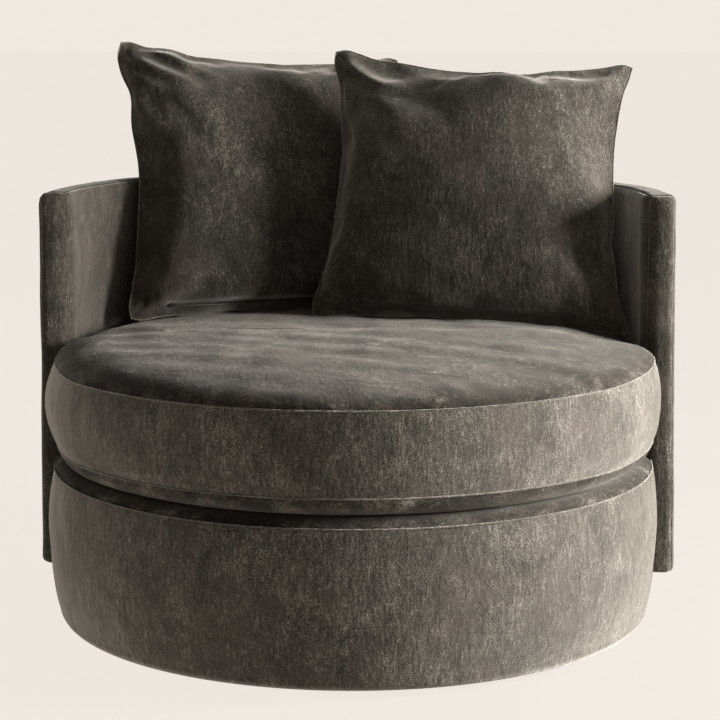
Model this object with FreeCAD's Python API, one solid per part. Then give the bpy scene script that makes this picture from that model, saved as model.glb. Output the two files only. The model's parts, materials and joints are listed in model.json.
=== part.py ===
import FreeCAD, Part
import math
import os

# A round swivelling cuddle chair: a drum base on a hidden swivel, a half-round shell of back
# and arms, a loose round seat cushion and two loose back cushions.
# Millimetres. +Z is up, the front faces -Y, and the origin is the swivel axis at the floor.
# Left and right are as seen from the front.

V = FreeCAD.Vector
UP = V(0, 0, 1)
ORIGIN = V(0, 0, 0)
FAR = 2000.0

# Soft skins and the gaps between pieces
CLOTH = 2.0
REST_GAP = 0.6

# Plinth and swivel, from the floor up
GLIDE_R = 20.0
GLIDE_H = 6.0
GLIDE_CIRCLE_R = 385.0
GLIDE_COUNT = 8
GLIDE_EDGE_ROUND = 1.5
GLIDE_RECESS_H = 2.0
GLIDE_SCREW = {"radius": 2.0, "length": 18.0, "head_r": 4.5, "head_h": 2.5}
PLY = 18.0
PLINTH_R = 415.0
PLINTH_TOP = GLIDE_H + PLY
PLATE_SIDE = 300.0
PLATE_T = 2.5
PLATE_CORNER = 20.0
PLATE_SCREW_EDGE = 18.0
PLATE_SCREW = {"radius": 2.5, "length": 14.0, "head_r": 5.0, "head_h": PLATE_T}
BALL_R = 4.0
BALL_CIRCLE_R = 120.0
BALL_COUNT = 24
RACE_W = 16.0
RACE_H = 2.0
BALL_PLAY = 0.05
CAGE_T = 2.0
CAGE_HALF_W = 6.5
CAGE_POCKET_PLAY = 0.1
SWIVEL_H = 15.5
SWIVEL_MID = PLINTH_TOP + SWIVEL_H / 2
BOLT_R = 6.0
BOLT_HEAD_R = 10.2
BOLT_HEAD_H = 6.0
BOLT_HEAD_Z = GLIDE_H + 4.0
BOLT_TOP_RISE = 12.0
PIVOT_NUT_R = 9.6
PIVOT_NUT_H = 5.0
PLINTH_EDGE_ROUND = 3.0
BUSH_R = 10.0
BUSH_PLAY = 0.08

# Drum base
DRUM_BOTTOM = 13.0
DRUM_WIDEST_R = 560.0
DRUM_WIDEST_Z = 150.0
DRUM_FOOT_R = 543.0
DRUM_FOOT_ROUND = 18.0
DRUM_SEAM_R = 548.0
DRUM_SEAM_Z = 288.0
DRUM_SHOULDER_RISE = 3.0
DRUM_REAR_SEAM_Z = 294.0
DECK_R = 515.0
DECK_TOP = 300.0
DUST_COVER_R = 425.0
DUST_COVER_T = 1.5
COVER_TURN_IN = 8.0
BOARD_Z = PLINTH_TOP + SWIVEL_H
FRAME_R = 515.0
PANEL_T = 3.0
TOP_RING_Z = 247.0
TOP_RING_INNER_R = 455.0
LOWER_RING_Z = 16.0
LOWER_RING_INNER_R = 440.0
POST_DEPTH = 35.0
POST_WIDTH = 45.0
POST_COUNT = 12
RAIL_Y = 382.0
RAIL_DEPTH = 35.0
RAIL_HALF_LENGTH = 300.0
WIRE_R = 1.9
SPRING_COUNT = 7
SPRING_PITCH = 80.0
SPRING_HALF_WIDTH = 25.0
SPRING_BENDS = 18
SPRING_HALF_LENGTH = 366.0
SPRING_RISE = WIRE_R + 1.2
CLIP_HALF_LENGTH = 8.0
CLIP_HALF_WIDTH = 7.0
CLIP_H = 4.8
CLIP_PLAY = 0.1
FELT_RISE = 6.0
FELT_T = 4.0

# Back-and-arms shell
SHELL_INNER_R = 530.0
SHELL_OUTER_R = 585.0
SHELL_BOTTOM = 72.0
SHELL_TOP = 779.0
ARM_FRONT_Y = 23.0
SHELL_ROUND = 13.5
PADDING = 11.0
INNER_PLY = 5.0
OUTER_PLY = 3.0
UPRIGHT_ANGLES = (30, 60, 90, 120, 150)
UPRIGHT_W = 45.0
JOINING_ANGLES = (30, 60, 120, 150)
JOINING_Z = 222.0
JOINING_BLOCK_H = 46.0
JOINING_BOLT_R = 4.0
JOINING_HEAD_R = 7.0
JOINING_HEAD_H = 5.0
JOINING_NUT_R = 6.0
JOINING_NUT_L = 16.0
JOINING_REACH_IN = 22.0
JOINING_REACH_OUT = 14.0

# Seat cushion
SEAT_FRONT_SEAM_R = 560.0
SEAT_REAR_SEAM_R = 524.0
SEAT_FRONT_BULGE_R = 567.0
SEAT_REAR_BULGE_R = 527.0
SEAT_LOW_SEAM_R = 561.0
SEAT_LOW_SEAM_Z = 341.0
SEAT_TOP_SEAM_Z = 484.0
SEAT_CROWN_Z = 530.0
SEAT_STEP_Y = 14.0
SEAT_STEP_ROUND = 14.0
SEAT_CROWN_STEPS = ((1.0, 0.0), (0.965, 0.3), (0.88, 0.6), (0.72, 0.82), (0.5, 0.94), (0.25, 0.99))
SEAT_UNDER_STEPS = ((0.86, 1.0), (0.93, 0.85), (0.98, 0.5), (1.0, 0.0))
SEAT_ZIP_Z = 415.0
SEAT_ZIP_FLOOR_R = 520.0
SEAT_ZIP_ANGLES = (28, 152)

# Zips, shared by the three cushions
ZIP_GROOVE_H = 9.0
ZIP_TAPE_T = 1.5
ZIP_TEETH_H = 4.0
ZIP_TEETH_T = 1.2
SLIDER_L = 9.0
SLIDER_H = 6.0
SLIDER_T = 2.4
SLIDER_GAP = 0.4
PULL_L = 14.0
PULL_T = 1.0
SLIDER_MARGIN = 1.0
SEAT_ZIP_MARGIN = 2.0

# Back cushions: centre of the seam plane, turn about Z, lean back, corners in that plane
# (across, up) as top left, top right, bottom right, bottom left, and how far each side
# between two corners is drawn in, in the same order from the top side.
LEFT_BACK = {
    "name": "left_back",
    "centre": V(-190, 335, 766),
    "turn": 18.0,
    "lean": 19.0,
    "corners": ((-276, 291), (286, 252), (262, -252), (-290, -258)),
    "drawn_in": (24, 24, 5, 26),
}
RIGHT_BACK = {
    "name": "right_back",
    "centre": V(225, 200, 770),
    "turn": -8.0,
    "lean": 18.0,
    "corners": ((-296, 271), (280, 243), (297, -266), (-310, -247)),
    "drawn_in": (28, 34, 8, 32),
}
PILLOW_HALF_T = 86.0
PILLOW_CORNER = 16.0
PILLOW_SCALES = (1.0, 0.96, 0.88, 0.75, 0.58, 0.38, 0.18)
PILLOW_SHOULDER = 0.6
PILLOW_ZIP_HALF_L = 205.0
PILLOW_ZIP_RISE = 15.0
PILLOW_ZIP_FLOOR = 17.0
PILLOW_ZIP_DEPTH = 60.0
PILLOW_CORNER_GROWTH = 230.0
PILLOW_PAD_SCALE = 0.989


def line(a, b):
    return Part.LineSegment(a, b).toShape()


def arc(a, through, b):
    return Part.Arc(a, through, b).toShape()


def polar(radius, degrees, z=0.0):
    turn = math.radians(degrees)
    return V(radius * math.cos(turn), radius * math.sin(turn), z)


def disc(radius, low, high):
    return Part.makeCylinder(radius, high - low, V(0, 0, low))


def ring(inner, outer, low, high):
    return disc(outer, low, high).cut(disc(inner, low - 1, high + 1))


def block(x, y, z):
    """A box from three (low, high) pairs."""
    return Part.makeBox(x[1] - x[0], y[1] - y[0], z[1] - z[0], V(x[0], y[0], z[0]))


def behind(shape, y):
    return shape.common(block((-FAR, FAR), (y, FAR), (-FAR, FAR)))


def before(shape, y):
    return shape.common(block((-FAR, FAR), (-FAR, y), (-FAR, FAR)))


def above(shape, z):
    return shape.common(block((-FAR, FAR), (-FAR, FAR), (z, FAR)))


def below(shape, z):
    return shape.common(block((-FAR, FAR), (-FAR, FAR), (-FAR, z)))


def revolve(edges):
    """A full turn about Z of a closed outline drawn in the XZ plane."""
    face = Part.Face(Part.Wire(edges))
    return face.revolve(ORIGIN, UP, 360)


def round_about(make, count, start=0.0):
    """Copies of one piece turned evenly about Z."""
    copies = []
    for i in range(count):
        piece = make.copy()
        piece.rotate(ORIGIN, UP, start + 360.0 * i / count)
        copies.append(piece)
    return Part.makeCompound(copies)


def at_angles(make, angles):
    copies = []
    for angle in angles:
        piece = make.copy()
        piece.rotate(ORIGIN, UP, angle)
        copies.append(piece)
    return Part.makeCompound(copies)


def slice_about(low_deg, high_deg):
    """A wedge about Z between two angles, to cut a ring to an arc."""
    middle = (low_deg + high_deg) / 2
    corner = [ORIGIN, polar(FAR, low_deg), polar(FAR, middle), polar(FAR, high_deg), ORIGIN]
    wedge = Part.Face(Part.makePolygon(corner)).extrude(UP * 2 * FAR)
    wedge.translate(-UP * FAR)
    return wedge


def soft_loft(outlines):
    """A smooth solid through closed outlines, cubic so that it doesn't ripple."""
    return Part.makeLoft(outlines, True, False, False, 3)


def save(name, shape):
    if shape.isNull() or not shape.isValid() or shape.Volume < 1:
        raise ValueError(f"{name} is not a sound solid")
    shape.exportStep(f"parts/{name}.step")
    print(f"{name:26s} {len(shape.Solids):3d} solids {shape.Volume / 1000:10.1f} cm3")


# Plinth and swivel

def screw(radius, length, head_r, head_h):
    """A countersunk-headed screw pointing up +Z, with its head's face at the origin."""
    head = Part.makeCone(head_r, radius, head_h)
    shank = Part.makeCylinder(radius, length - head_h, V(0, 0, head_h))
    return head.fuse(shank).removeSplitter()


def plate_screw_places(z):
    half = PLATE_SIDE / 2 - PLATE_SCREW_EDGE
    return [V(sx * half, sy * half, z) for sx in (-1, 1) for sy in (-1, 1)]


def glide_places(z=0.0):
    turn = 360.0 / GLIDE_COUNT
    return [polar(GLIDE_CIRCLE_R, turn * (i + 0.5), z) for i in range(GLIDE_COUNT)]


def at_places(make, places):
    copies = []
    for place in places:
        piece = make.copy()
        piece.translate(place)
        copies.append(piece)
    return Part.makeCompound(copies)


def make_plinth():
    glide_screws = at_places(screw(**GLIDE_SCREW), glide_places(GLIDE_RECESS_H))
    plate_screw = screw(**PLATE_SCREW)
    plate_screw.rotate(ORIGIN, V(1, 0, 0), 180)
    plate_screws = at_places(plate_screw, plate_screw_places(PLINTH_TOP + PLATE_T))

    head_top = BOLT_HEAD_Z + BOLT_HEAD_H
    shank = disc(BOLT_R, BOLT_HEAD_Z, BOARD_Z + BOLT_TOP_RISE)
    bolt = shank.fuse(disc(BOLT_HEAD_R, BOLT_HEAD_Z, head_top)).removeSplitter()
    nut_z = PLINTH_TOP + PLATE_T
    nut = ring(BOLT_R, PIVOT_NUT_R, nut_z, nut_z + PIVOT_NUT_H)

    board = disc(PLINTH_R, GLIDE_H, PLINTH_TOP)
    rims = [e for e in board.Edges if e.Curve.TypeId == "Part::GeomCircle"]
    board = board.makeFillet(PLINTH_EDGE_ROUND, rims)
    board = board.cut(disc(BOLT_R, 0, FAR)).cut(disc(BOLT_HEAD_R, 0, head_top))
    board = board.cut(glide_screws).cut(plate_screws)

    glide = disc(GLIDE_R, 0, GLIDE_H)
    glide = glide.makeFillet(GLIDE_EDGE_ROUND, [glide.Edges[0], glide.Edges[2]])
    recess = disc(GLIDE_SCREW["head_r"], 0, GLIDE_RECESS_H)
    outer_glides = at_places(glide.cut(recess), glide_places()).cut(glide_screws)
    # The middle glide plugs the bolt head's pocket
    middle_glide = glide.fuse(disc(BOLT_HEAD_R, GLIDE_H / 2, BOLT_HEAD_Z)).removeSplitter()
    save("plinth_board", board)
    save("plinth_glides", Part.makeCompound(outer_glides.Solids + [middle_glide]))
    save("glide_screws", glide_screws)
    save("lower_plate_screws", plate_screws)
    save("pivot_bolt", bolt)
    save("pivot_nut", nut)
    return plate_screws


def race_groove():
    """The balls' path, grown by their play."""
    return Part.makeTorus(BALL_CIRCLE_R, BALL_R + BALL_PLAY, V(0, 0, SWIVEL_MID))


def swivel_plate(low, race_low, hole_r):
    half = PLATE_SIDE / 2
    plate = block((-half, half), (-half, half), (low, low + PLATE_T))
    upright = [e for e in plate.Edges if abs(e.tangentAt(e.FirstParameter).z) > 0.9]
    plate = plate.makeFillet(PLATE_CORNER, upright)
    race_in = BALL_CIRCLE_R - RACE_W / 2
    race = ring(race_in, race_in + RACE_W, race_low, race_low + RACE_H)
    plate = plate.fuse(race).removeSplitter()
    return plate.cut(disc(hole_r, 0, FAR)).cut(race_groove())


def make_swivel(lower_screws):
    lower = swivel_plate(PLINTH_TOP, PLINTH_TOP + PLATE_T, BOLT_R)
    save("swivel_lower_plate", lower.cut(lower_screws))

    upper_z = BOARD_Z - PLATE_T
    upper_screws = at_places(screw(**PLATE_SCREW), plate_screw_places(upper_z))
    upper = swivel_plate(upper_z, upper_z - RACE_H, BUSH_R)
    save("swivel_upper_plate", upper.cut(upper_screws))
    save("upper_plate_screws", upper_screws)

    bush = ring(BOLT_R + BUSH_PLAY, BUSH_R, upper_z, BOARD_Z + PLY)
    save("pivot_bush", bush)

    ball = Part.makeSphere(BALL_R, V(BALL_CIRCLE_R, 0, SWIVEL_MID))
    balls = round_about(ball, BALL_COUNT)
    save("bearing_balls", balls)
    low = SWIVEL_MID - CAGE_T / 2
    pocket = Part.makeCylinder(BALL_R + CAGE_POCKET_PLAY, CAGE_T, V(BALL_CIRCLE_R, 0, low))
    cage = ring(BALL_CIRCLE_R - CAGE_HALF_W, BALL_CIRCLE_R + CAGE_HALF_W, low, low + CAGE_T)
    cage = cage.cut(round_about(pocket, BALL_COUNT))
    save("ball_cage", cage)
    return upper_screws


# Drum base

def drum_form(inset):
    """The upholstered drum: bulged in front, plain behind where the shell stands round it."""
    foot = DRUM_FOOT_R - inset
    low = DRUM_BOTTOM + inset
    curl = DRUM_FOOT_ROUND - inset
    top = DECK_TOP - inset
    seam = V(DRUM_SEAM_R - inset, 0, DRUM_SEAM_Z - inset / 2)
    widest = V(DRUM_WIDEST_R - inset, 0, DRUM_WIDEST_Z)
    foot_top = V(foot, 0, low + curl)
    foot_mid = V(foot - curl * (1 - math.sqrt(0.5)), 0, low + curl * (1 - math.sqrt(0.5)))
    foot_low = V(foot - curl, 0, low)
    deck_edge = V(DECK_R, 0, top)
    deck_mid = (seam + deck_edge) * 0.5 + V(DRUM_SHOULDER_RISE, 0, DRUM_SHOULDER_RISE)
    front = revolve([
        line(V(0, 0, low), foot_low),
        arc(foot_low, foot_mid, foot_top),
        arc(foot_top, widest, seam),
        arc(seam, deck_mid, deck_edge),
        line(deck_edge, V(0, 0, top)),
        line(V(0, 0, top), V(0, 0, low)),
    ])
    rear_r = SHELL_INNER_R - inset
    rear_seam = V(rear_r, 0, DRUM_REAR_SEAM_Z - inset / 2)
    rear = revolve([
        line(V(0, 0, low), V(rear_r, 0, low)),
        line(V(rear_r, 0, low), rear_seam),
        line(rear_seam, deck_edge),
        line(deck_edge, V(0, 0, top)),
        line(V(0, 0, top), V(0, 0, low)),
    ])
    split = ARM_FRONT_Y - 1 - inset
    return before(front, split).fuse(behind(rear, split)).removeSplitter()


def zigzag_spring():
    """One flat serpentine wire, straight runs across joined by half turns, each of two arcs."""
    step = 2 * SPRING_HALF_LENGTH / SPRING_BENDS
    turn = step / 2
    reach = SPRING_HALF_WIDTH - turn
    z = TOP_RING_Z + SPRING_RISE
    edges = []
    side = 1
    y = -SPRING_HALF_LENGTH
    here = V(-side * reach, y, z)
    for i in range(SPRING_BENDS):
        end = V(side * reach, y, z)
        edges.append(line(here, end))
        centre = end + V(0, turn, 0)
        tip = centre + V(side * turn, 0, 0)
        first = centre + V(side * turn, -turn, 0) * math.sqrt(0.5)
        second = centre + V(side * turn, turn, 0) * math.sqrt(0.5)
        next_start = end + V(0, step, 0)
        edges.append(arc(end, first, tip))
        edges.append(arc(tip, second, next_start))
        here = next_start
        y += step
        side = -side
    edges.append(line(here, here + V(side * 2 * reach, 0, 0)))
    path = Part.Wire(edges)
    start = edges[0].valueAt(edges[0].FirstParameter)
    circle = Part.Wire(Part.makeCircle(WIRE_R, start, V(1, 0, 0)))
    return path.makePipeShell([circle], True, False)


def make_drum(upper_screws):
    joints = joining_hardware()
    outer = drum_form(0)
    stuffing = drum_form(CLOTH)
    panel_out = FRAME_R + PANEL_T
    inside = disc(panel_out, 0, TOP_RING_Z + PLY)

    hole = disc(BUSH_R, BOARD_Z - 1, BOARD_Z + PLY + 1)
    board = disc(FRAME_R, BOARD_Z, BOARD_Z + PLY).cut(hole).cut(upper_screws)
    save("base_board", board)
    save("lower_ring", ring(LOWER_RING_INNER_R, FRAME_R, LOWER_RING_Z, BOARD_Z))

    post = block(
        (FRAME_R - POST_DEPTH, FRAME_R),
        (-POST_WIDTH / 2, POST_WIDTH / 2),
        (BOARD_Z + PLY, TOP_RING_Z),
    ).common(disc(FRAME_R, 0, TOP_RING_Z))
    posts = round_about(post, POST_COUNT)
    save("drum_posts", posts.cut(joints["bores"]).cut(joints["sleeves"]))
    side_panel = ring(FRAME_R, panel_out, LOWER_RING_Z, TOP_RING_Z + PLY)
    save("drum_side_panel", side_panel.cut(joints["bores"]))
    save("top_ring", ring(TOP_RING_INNER_R, FRAME_R, TOP_RING_Z, TOP_RING_Z + PLY))

    rail = block(
        (-RAIL_HALF_LENGTH, RAIL_HALF_LENGTH),
        (RAIL_Y - RAIL_DEPTH / 2, RAIL_Y + RAIL_DEPTH / 2),
        (TOP_RING_Z - RAIL_DEPTH, TOP_RING_Z),
    )
    save("spring_rails", round_about(rail, 2))

    spring = zigzag_spring()
    springs = []
    clips = []
    for i in range(SPRING_COUNT):
        x = (i - (SPRING_COUNT - 1) / 2) * SPRING_PITCH
        piece = spring.copy()
        piece.translate(V(x, 0, 0))
        springs.append(piece)
        for side in (-1, 1):
            y = side * SPRING_HALF_LENGTH
            clip = block(
                (x - CLIP_HALF_LENGTH, x + CLIP_HALF_LENGTH),
                (y - CLIP_HALF_WIDTH, y + CLIP_HALF_WIDTH),
                (TOP_RING_Z, TOP_RING_Z + CLIP_H),
            )
            slot_start = V(x - CLIP_HALF_LENGTH, y, TOP_RING_Z + SPRING_RISE)
            slot = Part.makeCylinder(WIRE_R + CLIP_PLAY, 2 * CLIP_HALF_LENGTH, slot_start, V(1, 0, 0))
            clips.append(clip.cut(slot))
    save("zigzag_springs", Part.makeCompound(springs))
    save("spring_clips", Part.makeCompound(clips))
    felt_low = TOP_RING_Z + FELT_RISE
    save("spring_felt", disc(TOP_RING_INNER_R, felt_low, felt_low + FELT_T))

    deck_foam = disc(TOP_RING_INNER_R, felt_low + FELT_T, DECK_TOP - CLOTH)
    deck_foam = deck_foam.fuse(disc(DECK_R, TOP_RING_Z + PLY, DECK_TOP - CLOTH)).removeSplitter()
    save("deck_foam", deck_foam)

    side_foam = stuffing.cut(inside).cut(disc(DECK_R, 0, DECK_TOP)).cut(joints["blocks"])
    save("drum_side_foam", side_foam)

    turned_in = panel_out - COVER_TURN_IN
    cover = outer.cut(stuffing).cut(disc(turned_in, 0, DRUM_BOTTOM + CLOTH + 1))
    save("deck_cover", above(cover, DRUM_SEAM_Z))
    save("drum_side_cover", below(cover, DRUM_SEAM_Z).cut(joints["blocks"]))
    save("dust_cover", ring(DUST_COVER_R, turned_in, LOWER_RING_Z - DUST_COVER_T, LOWER_RING_Z))
    return joints


# Back-and-arms shell

def shell_form(inset):
    """The half-round shell drawn in by an inset on every side, with its edges rounded."""
    body = ring(SHELL_INNER_R + inset, SHELL_OUTER_R - inset, SHELL_BOTTOM + inset, SHELL_TOP - inset)
    body = behind(body, ARM_FRONT_Y + inset)
    radius = SHELL_ROUND - inset
    return body.makeFillet(radius, body.Edges) if radius > 1 else body


def joining_hardware():
    """Blocks, bolts and tee nuts that hold the shell to the drum's ring of posts."""
    frame_in = SHELL_INNER_R + CLOTH + PADDING
    low = JOINING_Z - JOINING_BLOCK_H / 2
    high = JOINING_Z + JOINING_BLOCK_H / 2
    span = ring(FRAME_R + PANEL_T, frame_in, low, high)
    blank = block((FRAME_R, FAR), (-UPRIGHT_W / 2, UPRIGHT_W / 2), (low, high))
    one_block = blank.common(span)
    bolt_in = FRAME_R - JOINING_REACH_IN
    bolt_out = frame_in + INNER_PLY + JOINING_REACH_OUT
    axis = V(1, 0, 0)
    shank = Part.makeCylinder(JOINING_BOLT_R, bolt_out - bolt_in, V(bolt_in, 0, JOINING_Z), axis)
    head = Part.makeCylinder(JOINING_HEAD_R, JOINING_HEAD_H, V(bolt_out, 0, JOINING_Z), axis)
    bolt = shank.fuse(head).removeSplitter()
    bore = Part.makeCylinder(JOINING_BOLT_R, FAR, V(0, 0, JOINING_Z), axis)
    sleeve = Part.makeCylinder(JOINING_NUT_R, JOINING_NUT_L, V(bolt_in, 0, JOINING_Z), axis)
    nut = sleeve.cut(bore)
    return {
        "blocks": at_angles(one_block, JOINING_ANGLES),
        "bolts": at_angles(bolt, JOINING_ANGLES),
        "nuts": at_angles(nut, JOINING_ANGLES),
        "sleeves": at_angles(sleeve, JOINING_ANGLES),
        "bores": at_angles(bore, JOINING_ANGLES),
        "head_room": at_angles(head, JOINING_ANGLES),
    }


def make_shell(joints):
    outer = shell_form(0)
    padded = shell_form(CLOTH)
    bare = shell_form(CLOTH + PADDING)
    frame_in = SHELL_INNER_R + CLOTH + PADDING
    frame_out = SHELL_OUTER_R - CLOTH - PADDING
    low = SHELL_BOTTOM + CLOTH + PADDING
    high = SHELL_TOP - CLOTH - PADDING
    front = ARM_FRONT_Y + CLOTH + PADDING
    cavity_in = frame_in + INNER_PLY
    cavity_out = frame_out - OUTER_PLY

    inner_panel = behind(ring(frame_in, cavity_in, low, high), front)
    save("shell_inner_panel", inner_panel.cut(joints["bores"]))
    save("shell_outer_panel", behind(ring(cavity_out, frame_out, low, high), front))
    save("shell_top_rail", behind(ring(cavity_in, cavity_out, high - PLY, high), front))
    save("shell_bottom_rail", behind(ring(cavity_in, cavity_out, low, low + PLY), front))

    cavity = behind(ring(cavity_in, cavity_out, low + PLY, high - PLY), front)
    stave = block((0, FAR), (-UPRIGHT_W / 2, UPRIGHT_W / 2), (low, high))
    uprights = at_angles(stave, UPRIGHT_ANGLES).common(cavity)
    uprights = uprights.cut(joints["bores"]).cut(joints["head_room"])
    save("shell_uprights", uprights)
    arm_posts = before(cavity, front + UPRIGHT_W)
    save("arm_posts", arm_posts)

    padding = padded.cut(bare)
    top = above(padding, high)
    sides = below(padding, high)
    fronts = before(sides, front)
    sides = behind(sides, front)
    middle_r = (frame_in + frame_out) / 2
    save("shell_top_padding", top)
    save("arm_front_pads", fronts)
    inner_foam = sides.common(disc(middle_r, 0, high)).cut(joints["blocks"])
    save("shell_inner_foam", inner_foam)
    save("shell_outer_wadding", sides.cut(disc(middle_r, 0, high)))

    cover = outer.cut(padded)
    cap_z = SHELL_TOP - SHELL_ROUND
    cap = above(cover, cap_z)
    rest = below(cover, cap_z)
    arm_fronts = before(rest, ARM_FRONT_Y + SHELL_ROUND)
    rest = behind(rest, ARM_FRONT_Y + SHELL_ROUND)
    save("shell_top_cover", cap)
    save("left_arm_front_cover", arm_fronts.common(block((-FAR, 0), (-FAR, FAR), (0, FAR))))
    save("right_arm_front_cover", arm_fronts.common(block((0, FAR), (-FAR, FAR), (0, FAR))))
    save("shell_inner_cover", rest.common(disc(middle_r, 0, cap_z)).cut(joints["blocks"]))
    save("shell_outer_cover", rest.cut(disc(middle_r, 0, cap_z)))

    for node, part in (("blocks", "joining_blocks"), ("bolts", "joining_bolts"), ("nuts", "joining_nuts")):
        shape = joints[node]
        if node == "blocks":
            shape = shape.cut(joints["bores"])
        save(part, shape)


# Seat cushion

def seat_outline(front_r, rear_r, z, inset, scale=1.0):
    """A plan outline: wide round front, rear that fits between the arms, a step between."""
    front_r = (front_r - inset) * scale
    rear_r = (rear_r - inset) * scale
    step = (SEAT_STEP_Y - inset) * scale
    curl = SEAT_STEP_ROUND * scale
    start_y = step - curl
    start_x = math.sqrt(front_r ** 2 - start_y ** 2)
    rear_x = math.sqrt(rear_r ** 2 - step ** 2)
    slant = curl * (1 - math.sqrt(0.5))
    edges = []
    halves = []
    for side in (1, -1):
        a = V(side * start_x, start_y, z)
        b = V(side * (start_x - curl), step, z)
        bend = V(side * (start_x - slant), step - slant, z)
        c = V(side * rear_x, step, z)
        halves.append((a, bend, b, c))
    nose = V(0, -front_r, z)
    tail = V(0, rear_r, z)
    right, left = halves
    front_mid = front_r * math.sqrt(0.5)
    rear_mid = rear_r * math.sqrt(0.5)
    edges.append(arc(nose, V(front_mid, -front_mid, z), right[0]))
    edges.append(arc(right[0], right[1], right[2]))
    edges.append(line(right[2], right[3]))
    edges.append(arc(right[3], V(rear_mid, rear_mid, z), tail))
    edges.append(arc(tail, V(-rear_mid, rear_mid, z), left[3]))
    edges.append(line(left[3], left[2]))
    edges.append(arc(left[2], left[1], left[0]))
    edges.append(arc(left[0], V(-front_mid, -front_mid, z), nose))
    return Part.Wire(edges)


def seat_form(inset):
    """Crown, bulged border and underside, drawn in by an inset."""
    rise = SEAT_CROWN_Z - SEAT_TOP_SEAM_Z
    crown = [
        seat_outline(SEAT_FRONT_SEAM_R, SEAT_REAR_SEAM_R, SEAT_TOP_SEAM_Z + (rise - inset) * up, inset, k)
        for k, up in SEAT_CROWN_STEPS
    ]
    tall = SEAT_TOP_SEAM_Z - SEAT_LOW_SEAM_Z
    border = [
        seat_outline(front, rear, SEAT_LOW_SEAM_Z + tall * up, inset)
        for front, rear, up in (
            (SEAT_LOW_SEAM_R, SEAT_REAR_SEAM_R, 0.0),
            (SEAT_FRONT_BULGE_R, SEAT_REAR_BULGE_R, 0.3),
            (SEAT_FRONT_BULGE_R, SEAT_REAR_BULGE_R, 0.65),
            (SEAT_FRONT_SEAM_R, SEAT_REAR_SEAM_R, 1.0),
        )
    ]
    drop = SEAT_LOW_SEAM_Z - DECK_TOP - REST_GAP
    under = [
        seat_outline(SEAT_LOW_SEAM_R, SEAT_REAR_SEAM_R, SEAT_LOW_SEAM_Z - (drop - inset) * down, inset, k)
        for k, down in SEAT_UNDER_STEPS
    ]
    return [soft_loft(stack) for stack in (crown, border, under)]


def zip_arc(inner, outer, low, high):
    return ring(inner, outer, low, high).common(slice_about(*SEAT_ZIP_ANGLES))


def make_seat():
    outer = seat_form(0)
    inner = seat_form(CLOTH)
    core = inner[0].fuse([inner[1], inner[2]]).removeSplitter()
    low = SEAT_ZIP_Z - ZIP_GROOVE_H / 2
    high = SEAT_ZIP_Z + ZIP_GROOVE_H / 2
    floor_r = SEAT_ZIP_FLOOR_R
    groove = zip_arc(floor_r - ZIP_TAPE_T, SHELL_INNER_R, low, high)
    names = ("seat_top_panel", "seat_border", "seat_bottom_panel")
    for name, piece in zip(names, outer):
        save(name, piece.cut(core).cut(groove))
    save("seat_foam", core.cut(groove))
    tape = zip_arc(floor_r - ZIP_TAPE_T, floor_r, low, high)
    teeth = zip_arc(
        floor_r, floor_r + ZIP_TEETH_T, SEAT_ZIP_Z - ZIP_TEETH_H / 2, SEAT_ZIP_Z + ZIP_TEETH_H / 2
    )
    save("seat_zip", tape.fuse(teeth).removeSplitter())

    start = SEAT_ZIP_ANGLES[0] + SEAT_ZIP_MARGIN
    slider_in = floor_r + ZIP_TEETH_T + SLIDER_GAP
    body = block(
        (slider_in, slider_in + SLIDER_T),
        (-SLIDER_L / 2, SLIDER_L / 2),
        (SEAT_ZIP_Z - SLIDER_H / 2, SEAT_ZIP_Z + SLIDER_H / 2),
    )
    pull = block(
        (slider_in + SLIDER_T, slider_in + SLIDER_T + PULL_T),
        (-SLIDER_L / 2, PULL_L),
        (SEAT_ZIP_Z - SLIDER_H / 4, SEAT_ZIP_Z + SLIDER_H / 4),
    )
    slider = body.fuse(pull).removeSplitter()
    slider.rotate(ORIGIN, UP, start)
    save("seat_zip_slider", slider)


# Back cushions

def pillow_axes(cushion):
    turn = math.radians(cushion["turn"])
    lean = math.radians(cushion["lean"])
    across = V(math.cos(turn), math.sin(turn), 0)
    back = V(-math.sin(turn), math.cos(turn), 0)
    up = UP * math.cos(lean) + back * math.sin(lean)
    out = across.cross(up)
    return across, up, out


def pillow_outline(cushion, scale, offset, trim=1.0):
    """The seam outline at a scale, moved out of its plane: drawn-in sides, rounded corners."""
    across, up, out = pillow_axes(cushion)
    centre = cushion["centre"] + out * offset
    corners = [centre + (across * u + up * w) * scale * trim for u, w in cushion["corners"]]
    cut = (PILLOW_CORNER + PILLOW_CORNER_GROWTH * (1 - scale)) * trim
    cut = min(cut, PILLOW_CORNER_GROWTH * scale)
    starts = []
    ends = []
    for i in range(4):
        here = corners[i]
        there = corners[(i + 1) % 4]
        way = (there - here).normalize()
        starts.append(here + way * cut)
        ends.append(there - way * cut)
    edges = []
    for i in range(4):
        middle = (starts[i] + ends[i]) * 0.5
        inward = (centre - middle).normalize()
        drawn = cushion["drawn_in"][i] * trim * scale * (2 * scale - 1)
        if abs(drawn) < 1:
            drawn = -1
        edges.append(arc(starts[i], middle + inward * drawn, ends[i]))
        corner = corners[(i + 1) % 4]
        bend = corner + (centre - corner).normalize() * cut * (math.sqrt(2) - 1)
        edges.append(arc(ends[i], bend, starts[(i + 1) % 4]))
    return Part.Wire(edges)


def pillow_half(cushion, side, trim=1.0, thin=0.0):
    """One crowned face, from the seam to the flat of its crown."""
    stack = []
    for scale in PILLOW_SCALES:
        rise = (1 - scale ** 2) ** PILLOW_SHOULDER
        stack.append(pillow_outline(cushion, scale, side * rise * (PILLOW_HALF_T - thin), trim))
    return soft_loft(stack)


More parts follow.
